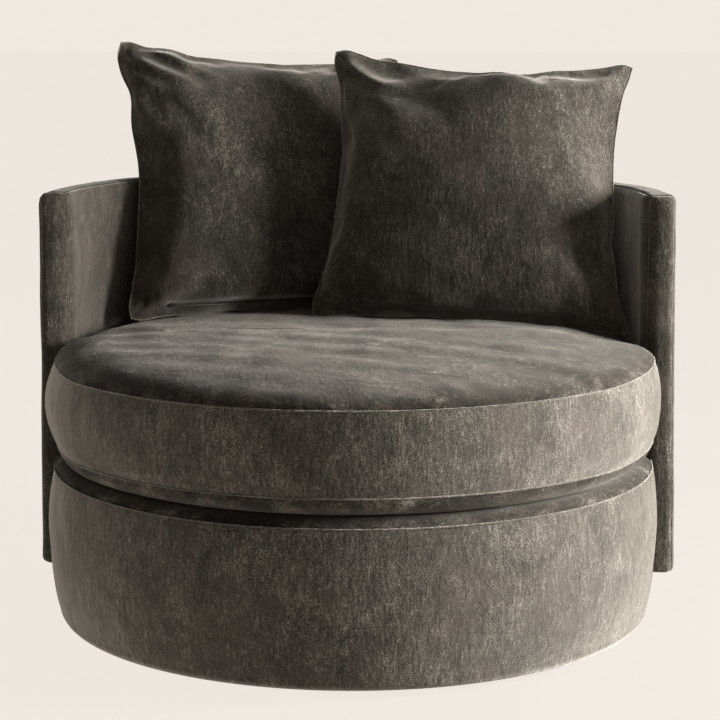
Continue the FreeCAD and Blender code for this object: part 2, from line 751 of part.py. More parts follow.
def pillow_zip_box(cushion, half_length, low, high, near, far):
    """A box along the bottom seam: heights above the seam, depths out of the seam plane."""
    across, up, out = pillow_axes(cushion)
    right, left = cushion["corners"][2], cushion["corners"][3]
    a = cushion["centre"] + across * left[0] + up * left[1]
    b = cushion["centre"] + across * right[0] + up * right[1]
    along = (b - a).normalize()
    rise = out.cross(along)
    middle = (a + b) * 0.5 + rise * (cushion["drawn_in"][2] + PILLOW_ZIP_RISE)
    start = middle + along * half_length[0] + rise * low + out * near
    length = half_length[1] - half_length[0]
    points = [start, start + along * length, start + along * length + rise * (high - low)]
    points += [start + rise * (high - low), start]
    return Part.Face(Part.makePolygon(points)).extrude(out * (far - near))


def make_back_cushion(cushion):
    name = cushion["name"]
    trim = PILLOW_PAD_SCALE
    half = PILLOW_ZIP_HALF_L
    groove_half = ZIP_GROOVE_H / 2
    floor = PILLOW_ZIP_FLOOR
    tape_low = floor - ZIP_TAPE_T
    groove = pillow_zip_box(
        cushion, (-half, half), -groove_half, groove_half, tape_low, PILLOW_ZIP_DEPTH
    )
    inner_front = pillow_half(cushion, 1, trim, CLOTH)
    inner_rear = pillow_half(cushion, -1, trim, CLOTH)
    save(f"{name}_pad", inner_front.fuse(inner_rear).removeSplitter().cut(groove))
    front = pillow_half(cushion, 1).cut(inner_front).cut(groove)
    save(f"{name}_front_cover", front)
    save(f"{name}_rear_cover", pillow_half(cushion, -1).cut(inner_rear))

    tape = pillow_zip_box(cushion, (-half, half), -groove_half, groove_half, tape_low, floor)
    teeth_half = ZIP_TEETH_H / 2
    teeth = pillow_zip_box(cushion, (-half, half), -teeth_half, teeth_half, floor, floor + ZIP_TEETH_T)
    save(f"{name}_zip", tape.fuse(teeth).removeSplitter())

    near = floor + ZIP_TEETH_T + SLIDER_GAP
    far = near + SLIDER_T
    end = (-half + SLIDER_MARGIN, -half + SLIDER_MARGIN + SLIDER_L)
    body = pillow_zip_box(cushion, end, -SLIDER_H / 2, SLIDER_H / 2, near, far)
    tongue = (end[0], end[0] + PULL_L)
    pull = pillow_zip_box(cushion, tongue, -SLIDER_H / 4, SLIDER_H / 4, far, far + PULL_T)
    save(f"{name}_zip_slider", body.fuse(pull).removeSplitter())


def main():
    os.makedirs("parts", exist_ok=True)
    lower_screws = make_plinth()
    upper_screws = make_swivel(lower_screws)
    joints = make_drum(upper_screws)
    make_shell(joints)
    make_seat()
    make_back_cushion(LEFT_BACK)
    make_back_cushion(RIGHT_BACK)


main()
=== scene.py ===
import json
import math

import bpy
import numpy as np
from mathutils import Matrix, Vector


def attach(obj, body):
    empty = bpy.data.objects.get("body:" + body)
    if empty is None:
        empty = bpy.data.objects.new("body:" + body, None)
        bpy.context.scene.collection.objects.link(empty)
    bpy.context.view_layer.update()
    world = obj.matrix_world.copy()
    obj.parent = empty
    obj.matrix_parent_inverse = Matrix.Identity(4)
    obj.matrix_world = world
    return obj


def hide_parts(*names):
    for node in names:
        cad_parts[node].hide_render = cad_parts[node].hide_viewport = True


# The looks of a round swivelling cuddle chair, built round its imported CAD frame.
# Metres. +Z is up, the front faces -Y. Left and right are as seen from the front.

# Camera and room
CAMERA_PLACE = (0.27179, -3.99077, 1.140)
CAMERA_WAY = (-0.064072, 0.984335, -0.164252)
CAMERA_LENS = 110.15
SENSOR_WIDTH = 36.0
PALE = (0.871, 0.812, 0.752)
FLOOR_HALF = 40.0
FLOOR_TONE = (0.02, 0.019, 0.018)
FLOOR_GLOW = 0.97
WORLD_TONE = (0.07, 0.07, 0.07)
WORLD_BAND = (0.06, 0.30)
# Name, place, target, size and power
LIGHTS = (
    ("key", (2.82, -0.44, 1.14), (0, 0, 0.45), 1.0, 350),
    ("top", (0.6, 0.2, 3.3), (0, 0, 0.5), 1.6, 18),
    ("back", (-1.2, 3.6, 2.2), (0, 0, 0.5), 2.0, 45),
)

# Cloth and seams
COVER_T = 0.0016
SEAM_R = 0.0013
SEAM_SIDES = 8
WAVE_COUNT = 28

# Drum
DRUM_FOOT_R = 0.543
DRUM_LOW = 0.013
DRUM_CURL = 0.018
DRUM_WIDE_R = 0.560
DRUM_WIDE_Z = 0.150
DRUM_SEAM_R = 0.548
DRUM_SEAM_Z = 0.288
DRUM_REAR_SEAM_Z = 0.294
DECK_R = 0.515
DECK_Z = 0.300
DECK_SHARES = (0.97, 0.93, 0.86, 0.76, 0.64, 0.5, 0.34, 0.16)
DRUM_TURN_IN_R = 0.510
DRUM_REAR_GAP = 0.0012
DRUM_REAR_RISE_Z = 0.200
DRUM_COLUMNS_FRONT = 300
DRUM_COLUMNS_REAR = 140
PROUD = 0.0012

# Shell of back and arms
SHELL_IN_R = 0.530
SHELL_OUT_R = 0.585
SHELL_LOW = 0.072
SHELL_HIGH = 0.779
ARM_Y = 0.023
DRUM_SPLIT_Y = ARM_Y - 0.0015
SHELL_DEPTH = 0.030
SHELL_ARC = 1.0
SHELL_V = 2 * SHELL_DEPTH + SHELL_ARC
SHELL_ROUND = 0.015
SHELL_ROUND_STEPS = 6
SHELL_CELLS = (6, 220, 80)
SHELL_SOFTNESS = 0.0011
SHELL_PROUD = 0.0008
SHELL_MIN = np.array([SHELL_IN_R - SHELL_PROUD, 0.0, SHELL_LOW - SHELL_PROUD])
SHELL_MAX = np.array([SHELL_OUT_R + SHELL_PROUD, SHELL_V, SHELL_HIGH + SHELL_PROUD])
ARM_INNER_ROUND = 0.034
LEFT_TOP_ROUND = 0.028
FOAM_INSET = 0.0032
SHELL_FLARE = 0.010
SHELL_FLARE_POWER = 1.3

# Seat cushion
SEAT_FRONT_R = 0.560
SEAT_REAR_R = 0.524
SEAT_BULGE_R = 0.567
SEAT_REAR_BULGE_R = 0.527
SEAT_LOW_Z = 0.341
SEAT_HIGH_Z = 0.484
SEAT_CROWN = 0.046
SEAT_DROP = 0.0404
SEAT_TURN_IN = 0.14
SEAT_STEP_Y = 0.014
SEAT_STEP_ROUND = 0.014
SEAT_COUNTS = (90, 10, 5, 60)
SEAT_PINCH_LEFT = 0.017
SEAT_PINCH_RIGHT = 0.011
SEAT_PINCH_MIDDLE = 0.0055
SEAT_ZIP_Z = 0.415
SEAT_ZIP_HALF_H = 0.0045
SEAT_ZIP_R = 0.5175
SEAT_ZIP_ANGLES = (28.0, 152.0)

# Back cushions: seam plane and its corners (across, up), clockwise from the top left;
# how far each side is drawn in and the power of its bow, from the top clockwise;
# folds by start, end, height and width
LEFT_BACK = {
    "name": "left_back",
    "body": "left_back_cushion",
    "centre": (-0.190, 0.335, 0.766),
    "turn": 18.0,
    "lean": 19.0,
    "corners": ((-0.276, 0.291), (0.286, 0.252), (0.262, -0.252), (-0.290, -0.258)),
    "drawn_in": (0.024, 0.024, 0.005, 0.026),
    "bows": (2.0, 5.0, 4.0, 2.0),
    "folds": (
        ((-0.225, 0.285), (-0.070, 0.205), 0.009, 0.011),
        ((-0.255, 0.255), (-0.125, 0.200), 0.007, 0.009),
        ((-0.250, -0.235), (-0.130, -0.150), 0.006, 0.013),
    ),
    "seed": 11,
}
RIGHT_BACK = {
    "name": "right_back",
    "body": "right_back_cushion",
    "centre": (0.225, 0.200, 0.770),
    "turn": -8.0,
    "lean": 18.0,
    "corners": ((-0.296, 0.271), (0.280, 0.243), (0.297, -0.266), (-0.310, -0.247)),
    "drawn_in": (0.028, 0.034, 0.008, 0.032),
    "bows": (2.0, 3.5, 4.0, 2.5),
    "folds": (
        ((-0.280, 0.255), (-0.110, 0.180), 0.010, 0.012),
        ((0.285, -0.235), (0.225, -0.130), 0.006, 0.010),
        ((0.262, 0.225), (0.180, 0.150), 0.005, 0.011),
    ),
    "seed": 23,
}
PILLOW_VOLUME = 0.036
PILLOW_FRAMES = 50
PILLOW_CASE = 1.07
PILLOW_CALMING = 3
PILLOW_HALF_T = 0.086
PILLOW_CELLS = 48
PILLOW_FINER = 4
PILLOW_CORNER = 0.024
ZIP_HALF_L = 0.205
ZIP_RISE = 0.015
ZIP_FLOOR = 0.0165
PAD_SHARE = 0.955
PAD_CORNER_GAP = 0.12
PAD_SHRINKS = 7
PLUMP_BLEND = 0.008
PLUMP_SQUARENESS = 7
PLUMP_POWER = 0.6
PLUMP_LOW_SHARE = 0.30
PLUMP_LOW_FADE = 0.22
EAR_ROUND = 0.042
EDGE_DEGREE = 8
EDGE_END_WEIGHT = 60.0
EDGE_KEPT = 0.6

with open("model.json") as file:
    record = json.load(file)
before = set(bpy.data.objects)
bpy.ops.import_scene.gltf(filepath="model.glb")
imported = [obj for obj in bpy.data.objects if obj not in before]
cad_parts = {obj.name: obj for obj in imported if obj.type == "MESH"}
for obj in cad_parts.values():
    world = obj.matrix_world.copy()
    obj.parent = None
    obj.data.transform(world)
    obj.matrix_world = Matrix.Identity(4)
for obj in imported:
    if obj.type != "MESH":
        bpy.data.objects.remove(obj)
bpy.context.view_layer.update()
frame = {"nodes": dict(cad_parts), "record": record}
scene = bpy.context.scene


# Numbers and grids

def waves(points, size, seed):
    """Smooth random unevenness of about -1 to 1, with bumps of a size in metres."""
    rng = np.random.default_rng(seed)
    flat = points.reshape(-1, 3)
    ways = rng.normal(size=(WAVE_COUNT, 3))
    ways /= np.linalg.norm(ways, axis=1)[:, None]
    lengths = 2 * size * rng.uniform(0.7, 1.6, WAVE_COUNT)
    turns = flat @ (ways * (2 * math.pi / lengths)[:, None]).T
    turns += rng.uniform(0, 2 * math.pi, WAVE_COUNT)
    total = np.sin(turns).sum(axis=1) / math.sqrt(WAVE_COUNT / 2)
    return (0.6 * total).reshape(points.shape[:-1])


def smooth(t):
    """An even step from 0 to 1 while t goes from 0 to 1."""
    t = np.clip(t, 0, 1)
    return t * t * (3 - 2 * t)


def floored(amount):
    """Keeps an offset above a low limit, with a soft turn."""
    low, soft = -0.0008, 0.0006
    return low + soft * np.logaddexp(0, (amount - low) / soft)


def arc_points(a, b, c, count):
    """Points on the circle from a through b to c, in a plane."""
    (ax, ay), (bx, by), (cx, cy) = a, b, c
    d = 2 * (ax * (by - cy) + bx * (cy - ay) + cx * (ay - by))
    sa, sb, sc = ax * ax + ay * ay, bx * bx + by * by, cx * cx + cy * cy
    ox = (sa * (by - cy) + sb * (cy - ay) + sc * (ay - by)) / d
    oy = (sa * (cx - bx) + sb * (ax - cx) + sc * (bx - ax)) / d
    start = math.atan2(ay - oy, ax - ox)
    sweep = math.atan2(cy - oy, cx - ox) - start
    sweep = (sweep + math.pi) % (2 * math.pi) - math.pi
    radius = math.hypot(ax - ox, ay - oy)
    angles = start + sweep * np.linspace(0, 1, count)
    return np.stack([ox + radius * np.cos(angles), oy + radius * np.sin(angles)], -1)


def slopes(grid, closed):
    """Outward unit normals of a grid of points, row by row."""
    along = np.gradient(grid, axis=0)
    if closed:
        across = (np.roll(grid, -1, axis=1) - np.roll(grid, 1, axis=1)) / 2
    else:
        across = np.gradient(grid, axis=1)
    out = np.cross(across, along)
    return out / np.maximum(np.linalg.norm(out, axis=-1), 1e-9)[..., None]


def raised(grid, amount, closed=False):
    """The grid moved outwards by an amount at each point."""
    return grid + slopes(grid, closed) * np.asarray(amount)[..., None]


def grid_quads(rows, columns, closed=False, start=0):
    """Quads between neighbouring rows of a grid."""
    index = np.arange(rows * columns).reshape(rows, columns) + start
    if closed:
        index = np.hstack([index, index[:, :1]])
    quads = [index[:-1, :-1], index[:-1, 1:], index[1:, 1:], index[1:, :-1]]
    return np.stack(quads, -1).reshape(-1, 4)


def with_centre(grid, middle=None):
    """Points, quads and closing fan of a closed grid whose last row meets a middle point."""
    points = grid.reshape(-1, 3)
    rows, columns = grid.shape[:2]
    last = np.arange(columns) + (rows - 1) * columns
    fan = np.stack([last, np.roll(last, -1), np.full(columns, len(points))], -1)
    middle = grid[-1].mean(axis=0) if middle is None else middle
    return np.vstack([points, [middle]]), grid_quads(rows, columns, closed=True), fan


def linked(name, data):
    """A new object in the scene."""
    made = bpy.data.objects.new(name, data)
    scene.collection.objects.link(made)
    return made


def new_piece(name, body, points, quads, material, triangles=None):
    """A smooth mesh piece that rides on a body."""
    mesh = bpy.data.meshes.new(name)
    points = np.asarray(points, float).reshape(-1, 3)
    triangles = np.zeros((0, 3), int) if triangles is None else np.asarray(triangles)
    corners = np.concatenate([np.asarray(quads).ravel(), triangles.ravel()])
    starts = np.concatenate(
        [np.arange(len(quads)) * 4, len(quads) * 4 + np.arange(len(triangles)) * 3]
    )
    mesh.vertices.add(len(points))
    mesh.vertices.foreach_set("co", points.astype(np.float32).ravel())
    mesh.loops.add(len(corners))
    mesh.loops.foreach_set("vertex_index", corners.astype(np.int32))
    mesh.polygons.add(len(starts))
    mesh.polygons.foreach_set("loop_start", starts.astype(np.int32))
    mesh.polygons.foreach_set("use_smooth", np.ones(len(starts), bool))
    mesh.update(calc_edges=True)
    mesh.validate()
    mesh.materials.append(material)
    piece = linked(name, mesh)
    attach(piece, body)
    return piece


def backed(piece):
    """Gives a cloth skin its thickness, inwards."""
    skin = piece.modifiers.new("cloth_thickness", "SOLIDIFY")
    skin.thickness = COVER_T
    skin.offset = -1
    skin.use_rim = True
    return piece


def tube(name, body, path, closed=False):
    """A thin round seam along a path of points."""
    path = np.asarray(path, float)
    if closed:
        ahead = np.roll(path, -1, axis=0) - np.roll(path, 1, axis=0)
    else:
        ahead = np.gradient(path, axis=0)
    ahead /= np.linalg.norm(ahead, axis=1)[:, None]
    side = np.cross(ahead, [0.13, 0.21, 0.97])
    side /= np.linalg.norm(side, axis=1)[:, None]
    other = np.cross(ahead, side)
    angles = 2 * math.pi * np.arange(SEAM_SIDES) / SEAM_SIDES
    rings = (
        path[:, None, :]
        + SEAM_R * np.cos(angles)[None, :, None] * side[:, None, :]
        + SEAM_R * np.sin(angles)[None, :, None] * other[:, None, :]
    )
    index = np.arange(len(path) * SEAM_SIDES).reshape(len(path), SEAM_SIDES)
    index = np.hstack([index, index[:, :1]])
    if closed:
        index = np.vstack([index, index[:1]])
    quads = np.stack([index[:-1, :-1], index[1:, :-1], index[1:, 1:], index[:-1, 1:]], -1)
    # Seams take the lighter seam velvet: a painted highlight along each seam.
    return new_piece(name, body, rings, quads.reshape(-1, 4), velvet_seam_painted_highlight)


# Materials

class Nodes:
    """Short calls for a material's node tree."""

    def __init__(self, name, color, roughness, **sockets):
        self.material = bpy.data.materials.new(name)
        self.material.use_nodes = True
        self.tree = self.material.node_tree
        self.shader = self.tree.nodes["Principled BSDF"]
        self.shader.inputs["Base Color"].default_value = (*color, 1)
        self.shader.inputs["Roughness"].default_value = roughness
        for socket, value in sockets.items():
            self.shader.inputs[socket.replace("_", " ")].default_value = value
        self.place = self.add("ShaderNodeTexCoord").outputs["Object"]

    def add(self, kind, **values):
        node = self.tree.nodes.new(kind)
        for key, value in values.items():
            setattr(node, key, value)
        return node

    def link(self, a, b):
        self.tree.links.new(a, b)

    def noise(self, stretch=(1, 1, 1), scale=1.0, detail=2.0, rough=0.5, shift=0.0, warp=0.0):
        mapping = self.add("ShaderNodeMapping")
        mapping.inputs["Scale"].default_value = stretch
        mapping.inputs["Location"].default_value = (shift, shift * 0.7, shift * 1.3)
        self.link(self.place, mapping.inputs["Vector"])
        node = self.add("ShaderNodeTexNoise")
        node.inputs["Scale"].default_value = scale
        node.inputs["Detail"].default_value = detail
        node.inputs["Roughness"].default_value = rough
        node.inputs["Distortion"].default_value = warp
        self.link(mapping.outputs["Vector"], node.inputs["Vector"])
        return node.outputs["Fac"]

    def math(self, operation, a, b):
        node = self.add("ShaderNodeMath", operation=operation)
        for socket, value in zip(node.inputs, (a, b)):
            if isinstance(value, (int, float)):
                socket.default_value = value
            else:
                self.link(value, socket)
        return node.outputs[0]

    def total(self, parts, middle=0.5):
        """The sum of weighted noises about a middle value."""
        result = None
        for socket, weight in parts:
            shifted = self.math("MULTIPLY", self.math("SUBTRACT", socket, 0.5), weight)
            result = shifted if result is None else self.math("ADD", result, shifted)
        return self.math("ADD", result, middle)

    def ramp(self, factor, stops):
        node = self.add("ShaderNodeValToRGB")
        ramp = node.color_ramp
        while len(ramp.elements) < len(stops):
            ramp.elements.new(0.5)
        for element, (place, color) in zip(ramp.elements, stops):
            element.position = place
            element.color = (*color, 1)
        self.link(factor, node.inputs["Fac"])
        return node.outputs["Color"]

    def mix(self, factor, a, b):
        node = self.add("ShaderNodeMix", data_type="RGBA")
        self.link(factor, node.inputs["Factor"])
        for socket, value in ((node.inputs[6], a), (node.inputs[7], b)):
            if isinstance(value, tuple):
                socket.default_value = (*value, 1)
            else:
                self.link(value, socket)
        return node.outputs[2]

    def color(self, socket):
        self.link(socket, self.shader.inputs["Base Color"])

    def roughness(self, factor, low, high):
        spread = self.math("MULTIPLY", factor, high - low)
        self.link(self.math("ADD", spread, low), self.shader.inputs["Roughness"])

    def bump(self, height, distance, strength):
        node = self.add("ShaderNodeBump")
        node.inputs["Distance"].default_value = distance
        node.inputs["Strength"].default_value = strength
        self.link(height, node.inputs["Height"])
        self.link(node.outputs["Normal"], self.shader.inputs["Normal"])


VELVET_STOPS = (
    (0.0, (0.0065, 0.0056, 0.0041)),
    (0.30, (0.017, 0.0148, 0.0112)),
    (0.52, (0.037, 0.0325, 0.0255)),
    (0.76, (0.088, 0.078, 0.063)),
    (1.0, (0.21, 0.19, 0.16)),
)
VELVET_BROWN = (0.062, 0.046, 0.036)


def velvet(name, nap, shift, lift=0.0, contrast=1.0, sheen=0.75):
    """Crushed velvet: patches of turned pile, streaks along the nap, and a fine grain."""
    made = Nodes(
        name,
        (0.08, 0.073, 0.062),
        0.85,
        Specular_IOR_Level=0.06,
        Sheen_Weight=sheen,
        Sheen_Roughness=0.5,
    )
    made.shader.inputs["Sheen Tint"].default_value = (0.80, 0.74, 0.65, 1)
    wide = made.noise(scale=4.5, detail=2, shift=shift)
    patches = made.noise(scale=14.0, detail=4, rough=0.62, shift=shift + 3, warp=0.7)
    crushed = made.noise(nap, 50.0, 3, 0.6, shift + 7, 0.4)
    streaks = made.noise(nap, 190.0, 2, 0.6, shift + 11)
    grain = made.noise(scale=480.0, detail=1, shift=shift)
    # lift moves the whole base tone lighter or darker; the copies below use it as painted light and
    # shade.
    value = made.total(
        [
            (wide, 0.6 * contrast),
            (patches, 0.85 * contrast),
            (crushed, 0.5 * contrast),
            (streaks, 0.75),
            (grain, 1.3),
        ],
        0.50 + lift,
    )
    brown = made.noise(scale=9.0, detail=3, shift=shift + 19)
    tint = made.ramp(brown, ((0.45, (0, 0, 0)), (0.72, (0.35, 0.35, 0.35))))
    made.color(made.mix(tint, made.ramp(value, VELVET_STOPS), VELVET_BROWN))
    made.roughness(streaks, 0.7, 0.95)
    height = made.total([(patches, 1.2), (crushed, 0.7), (streaks, 0.35), (grain, 0.15)])
    made.bump(height, 0.0035, 0.55)
    return made.material


UPRIGHT = (1.0, 1.0, 0.3)
FLAT = (0.8, 0.4, 1.0)
# Copies of one velvet: the fourth number lifts or lowers the whole base tone to match how lit each
# part is, as painted light and shade. The drum and seat border are painted lighter. The flat tops
# and undersides, the back and arms and the back cushions are painted darker, the left back cushion
# darker than the right.
velvet_upright_painted_shade = velvet("velvet_upright_painted_shade", UPRIGHT, 0.0, -0.07, 0.85, 0.45)
velvet_drum_painted_light = velvet("velvet_drum_painted_light", UPRIGHT, 5.0, 0.09, 0.72, 0.65)
velvet_flat_painted_shade = velvet("velvet_flat_painted_shade", FLAT, 2.0, -0.12, 1.7, 0.16)
velvet_left_painted_shade = velvet("velvet_left_back_painted_shade", UPRIGHT, 8.0, -0.11, 0.8, 0.42)
velvet_right_painted_light_and_shade = velvet("velvet_right_back_painted_light_and_shade", UPRIGHT, 8.6, -0.05, 0.8, 0.45)
# The seams' velvet has its base tone lifted: a painted highlight along each seam.
velvet_seam_painted_highlight = velvet("velvet_seam_painted_highlight", (1, 1, 1), 4.0, 0.16)


# Drum base

def drum_row(front_r, rear_r, front_z, rear_z):
    """One ring: the bulged front up to the arms' fronts, then the plain rear between them."""
    end = math.asin(DRUM_SPLIT_Y / front_r)
    front = end - np.linspace(0, 1, DRUM_COLUMNS_FRONT) * (math.pi + 2 * end)
    back = math.asin((DRUM_SPLIT_Y + 0.001) / rear_r)
    rear = math.pi - back - np.linspace(0, 1, DRUM_COLUMNS_REAR) * (math.pi - 2 * back)
    rings = []
    for angles, radius, z in ((front, front_r, front_z), (rear, rear_r, rear_z)):
        height = np.full_like(angles, z)
        rings.append(np.stack([radius * np.cos(angles), radius * np.sin(angles), height], -1))
    return np.vstack(rings)


def drum_profile():
    """Radius and height up the front, from the turned-in foot to the seam."""
    foot_low = (DRUM_FOOT_R - DRUM_CURL, DRUM_LOW)
    slant = DRUM_CURL * (1 - math.sqrt(0.5))
    foot_mid = (DRUM_FOOT_R - slant, DRUM_LOW + slant)
    foot_top = (DRUM_FOOT_R, DRUM_LOW + DRUM_CURL)
    seam = (DRUM_SEAM_R, DRUM_SEAM_Z)
    curl = arc_points(foot_low, foot_mid, foot_top, 8)
    side = arc_points(foot_top, (DRUM_WIDE_R, DRUM_WIDE_Z), seam, 72)
    inner = [(DRUM_TURN_IN_R, DRUM_LOW), (DRUM_TURN_IN_R + 0.008, DRUM_LOW)]
    return np.vstack([inner, curl, side[1:]])


def make_drum():
    """The drum's velvet side, its deck under the seat cushion, and the seam between them."""
    profile = drum_profile()
    rows = []
    for radius, z in profile:
        rear = min(radius, SHELL_IN_R - DRUM_REAR_GAP)
        rise = max(0.0, (z - DRUM_REAR_RISE_Z) / (DRUM_SEAM_Z - DRUM_REAR_RISE_Z))
        rows.append(drum_row(radius, rear, z, z + (DRUM_REAR_SEAM_Z - DRUM_SEAM_Z) * rise))
    side = np.array(rows)[:, ::-1]
    front = side[..., 1] < ARM_Y - 0.001
    height = side[..., 2]
    fade = smooth((height - DRUM_LOW) / 0.03)
    near_seam = np.exp(-((height - DRUM_SEAM_Z) / 0.006) ** 2)
    uneven = 0.0012 * waves(side, 0.09, 5) + 0.0006 * waves(side, 0.035, 6)
    lift = np.where(front, PROUD + uneven * fade - 0.0014 * near_seam, 0.0)
    side = raised(side, lift, closed=True)
    piece = new_piece(
        "drum_side_velvet", "chair", side, grid_quads(*side.shape[:2], closed=True), velvet_drum_painted_light
    )
    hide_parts("drum_side_cover")
    backed(piece)

    seam = (DRUM_SEAM_R, DRUM_SEAM_Z)
    middle = ((DRUM_SEAM_R + DECK_R) / 2 + 0.003, (DRUM_SEAM_Z + DECK_Z) / 2 + 0.003)
    shoulder = arc_points(seam, middle, (DECK_R, DECK_Z), 14)
    rows = []
    for r, z in shoulder:
        rear = min(r, SHELL_IN_R - DRUM_REAR_GAP)
        rows.append(drum_row(r, rear, z, max(z, DRUM_REAR_SEAM_Z)))
    for share in DECK_SHARES:
        rows.append(drum_row(DECK_R * share, DECK_R * share, DECK_Z, DECK_Z))
    deck = np.array(rows)[:, ::-1]
    near_seam = np.exp(-((deck[..., 2] - DRUM_SEAM_Z) / 0.003) ** 2)
    edge = smooth((np.hypot(deck[..., 0], deck[..., 1]) - 0.50) / 0.02)
    lift = (PROUD + 0.0006 * waves(deck, 0.05, 8)) * edge - 0.0012 * near_seam
    deck = raised(deck, np.clip(lift, 0, None), closed=True)
    points, quads, fan = with_centre(deck, (0, 0, DECK_Z))
    piece = new_piece("drum_deck_velvet", "chair", points, quads, velvet_flat_painted_shade, fan)
    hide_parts("deck_cover")

    row = drum_row(DRUM_SEAM_R + PROUD, SHELL_IN_R - 0.001, DRUM_SEAM_Z, DRUM_REAR_SEAM_Z)
    tube("drum_seam", "chair", row[:DRUM_COLUMNS_FRONT])


# Shell of back and arms

def rounded_axis(low, high, count):
    """Grid places along one axis of a box, close together where its edges are rounded."""
    turn = np.tan(np.linspace(0, math.pi / 4, SHELL_ROUND_STEPS + 1)) * SHELL_ROUND
    start = low + SHELL_ROUND - turn[::-1]
    end = high - SHELL_ROUND + turn
    middle = np.linspace(low + SHELL_ROUND, high - SHELL_ROUND, count + 1)[1:-1]
    return np.concatenate([start, middle, end])


def place_on_shell(u, v, w):
    """u: radius, v: from 0 at the right arm's front to SHELL_V at the left's, w: height."""
    left = v > SHELL_V / 2
    near = np.where(left, SHELL_V - v, v)
    y_near = ARM_Y - SHELL_PROUD + np.minimum(near, SHELL_DEPTH)
    start = np.arcsin(y_near / u)
    share = np.clip((near - SHELL_DEPTH) / SHELL_ARC, 0, None)
    angle = start + (math.pi / 2 - start) * 2 * share
    x = u * np.cos(angle)
    return np.stack([np.where(left, -x, x), u * np.sin(angle), w], -1)


def rounded_shell(u, v, w):
    """Points of the plain box pushed out from an inner box, then bent to the half round."""
    point = np.stack(np.broadcast_arrays(u, v, w), -1).astype(float)
    inner = np.clip(point, SHELL_MIN + SHELL_ROUND, SHELL_MAX - SHELL_ROUND)
    out = point - inner
    length = np.linalg.norm(out, axis=-1)[..., None]
    pushed = inner + out / np.maximum(length, 1e-9) * SHELL_ROUND
    return place_on_shell(pushed[..., 0], pushed[..., 1], pushed[..., 2])


def held_round(a, b, radius, inset):
    """Depths a and b from two planes, held inside a round of the edge between them."""
    da, db = radius - a, radius - b
    length = np.maximum(np.hypot(da, db), 1e-9)
    outside = (da > 0) & (db > 0) & (length > radius - inset)
    share = np.where(outside, (radius - inset) / length, 1.0)
    return radius - da * share, radius - db * share


def softened(points, inset=0.0):
    """Rounds the arms' inner front edges and the left arm's top outer edge.

    The outside is flared a little towards its foot.
    """
    x, y, z = (points[..., i] for i in range(3))
    u = np.hypot(x, y)
    a, b = y - (ARM_Y - SHELL_PROUD), u - (SHELL_IN_R - SHELL_PROUD)
    a, b = held_round(a, b, ARM_INNER_ROUND, inset)
    y, u = a + ARM_Y - SHELL_PROUD, b + SHELL_IN_R - SHELL_PROUD
    near_left = smooth((0.40 - y) / 0.30) * (x < 0)
    radius = SHELL_ROUND + (LEFT_TOP_ROUND - SHELL_ROUND) * near_left
    c, d = SHELL_HIGH + SHELL_PROUD - z, SHELL_OUT_R + SHELL_PROUD - u
    c, d = held_round(c, d, radius, inset)
    z, u = SHELL_HIGH + SHELL_PROUD - c, SHELL_OUT_R + SHELL_PROUD - d
    x = np.sign(x) * np.sqrt(np.clip(u ** 2 - y ** 2, 0, None))
    low = np.clip((SHELL_HIGH - z) / (SHELL_HIGH - SHELL_LOW), 0, 1) ** SHELL_FLARE_POWER
    flare = 1 + SHELL_FLARE * low * smooth((u - SHELL_IN_R) / (SHELL_OUT_R - SHELL_IN_R)) / u
    return np.stack([x * flare, y * flare, z], -1)


def reshaped(node, piece_name, body, change):
    """A copy of one of the frame's soft solids with its points moved a little."""
    source = frame["nodes"][node]
    mesh = source.data.copy()
    points = np.zeros(len(mesh.vertices) * 3, np.float32)
    mesh.vertices.foreach_get("co", points)
    points = change(points.reshape(-1, 3).astype(float))
    mesh.vertices.foreach_set("co", points.astype(np.float32).ravel())
    mesh.update()
    slot = slots[node]
    mesh.materials.clear()
    mesh.materials.append(FRAME_MATERIALS[slot])
    piece = linked(piece_name, mesh)
    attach(piece, body)
    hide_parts(node)
    return piece


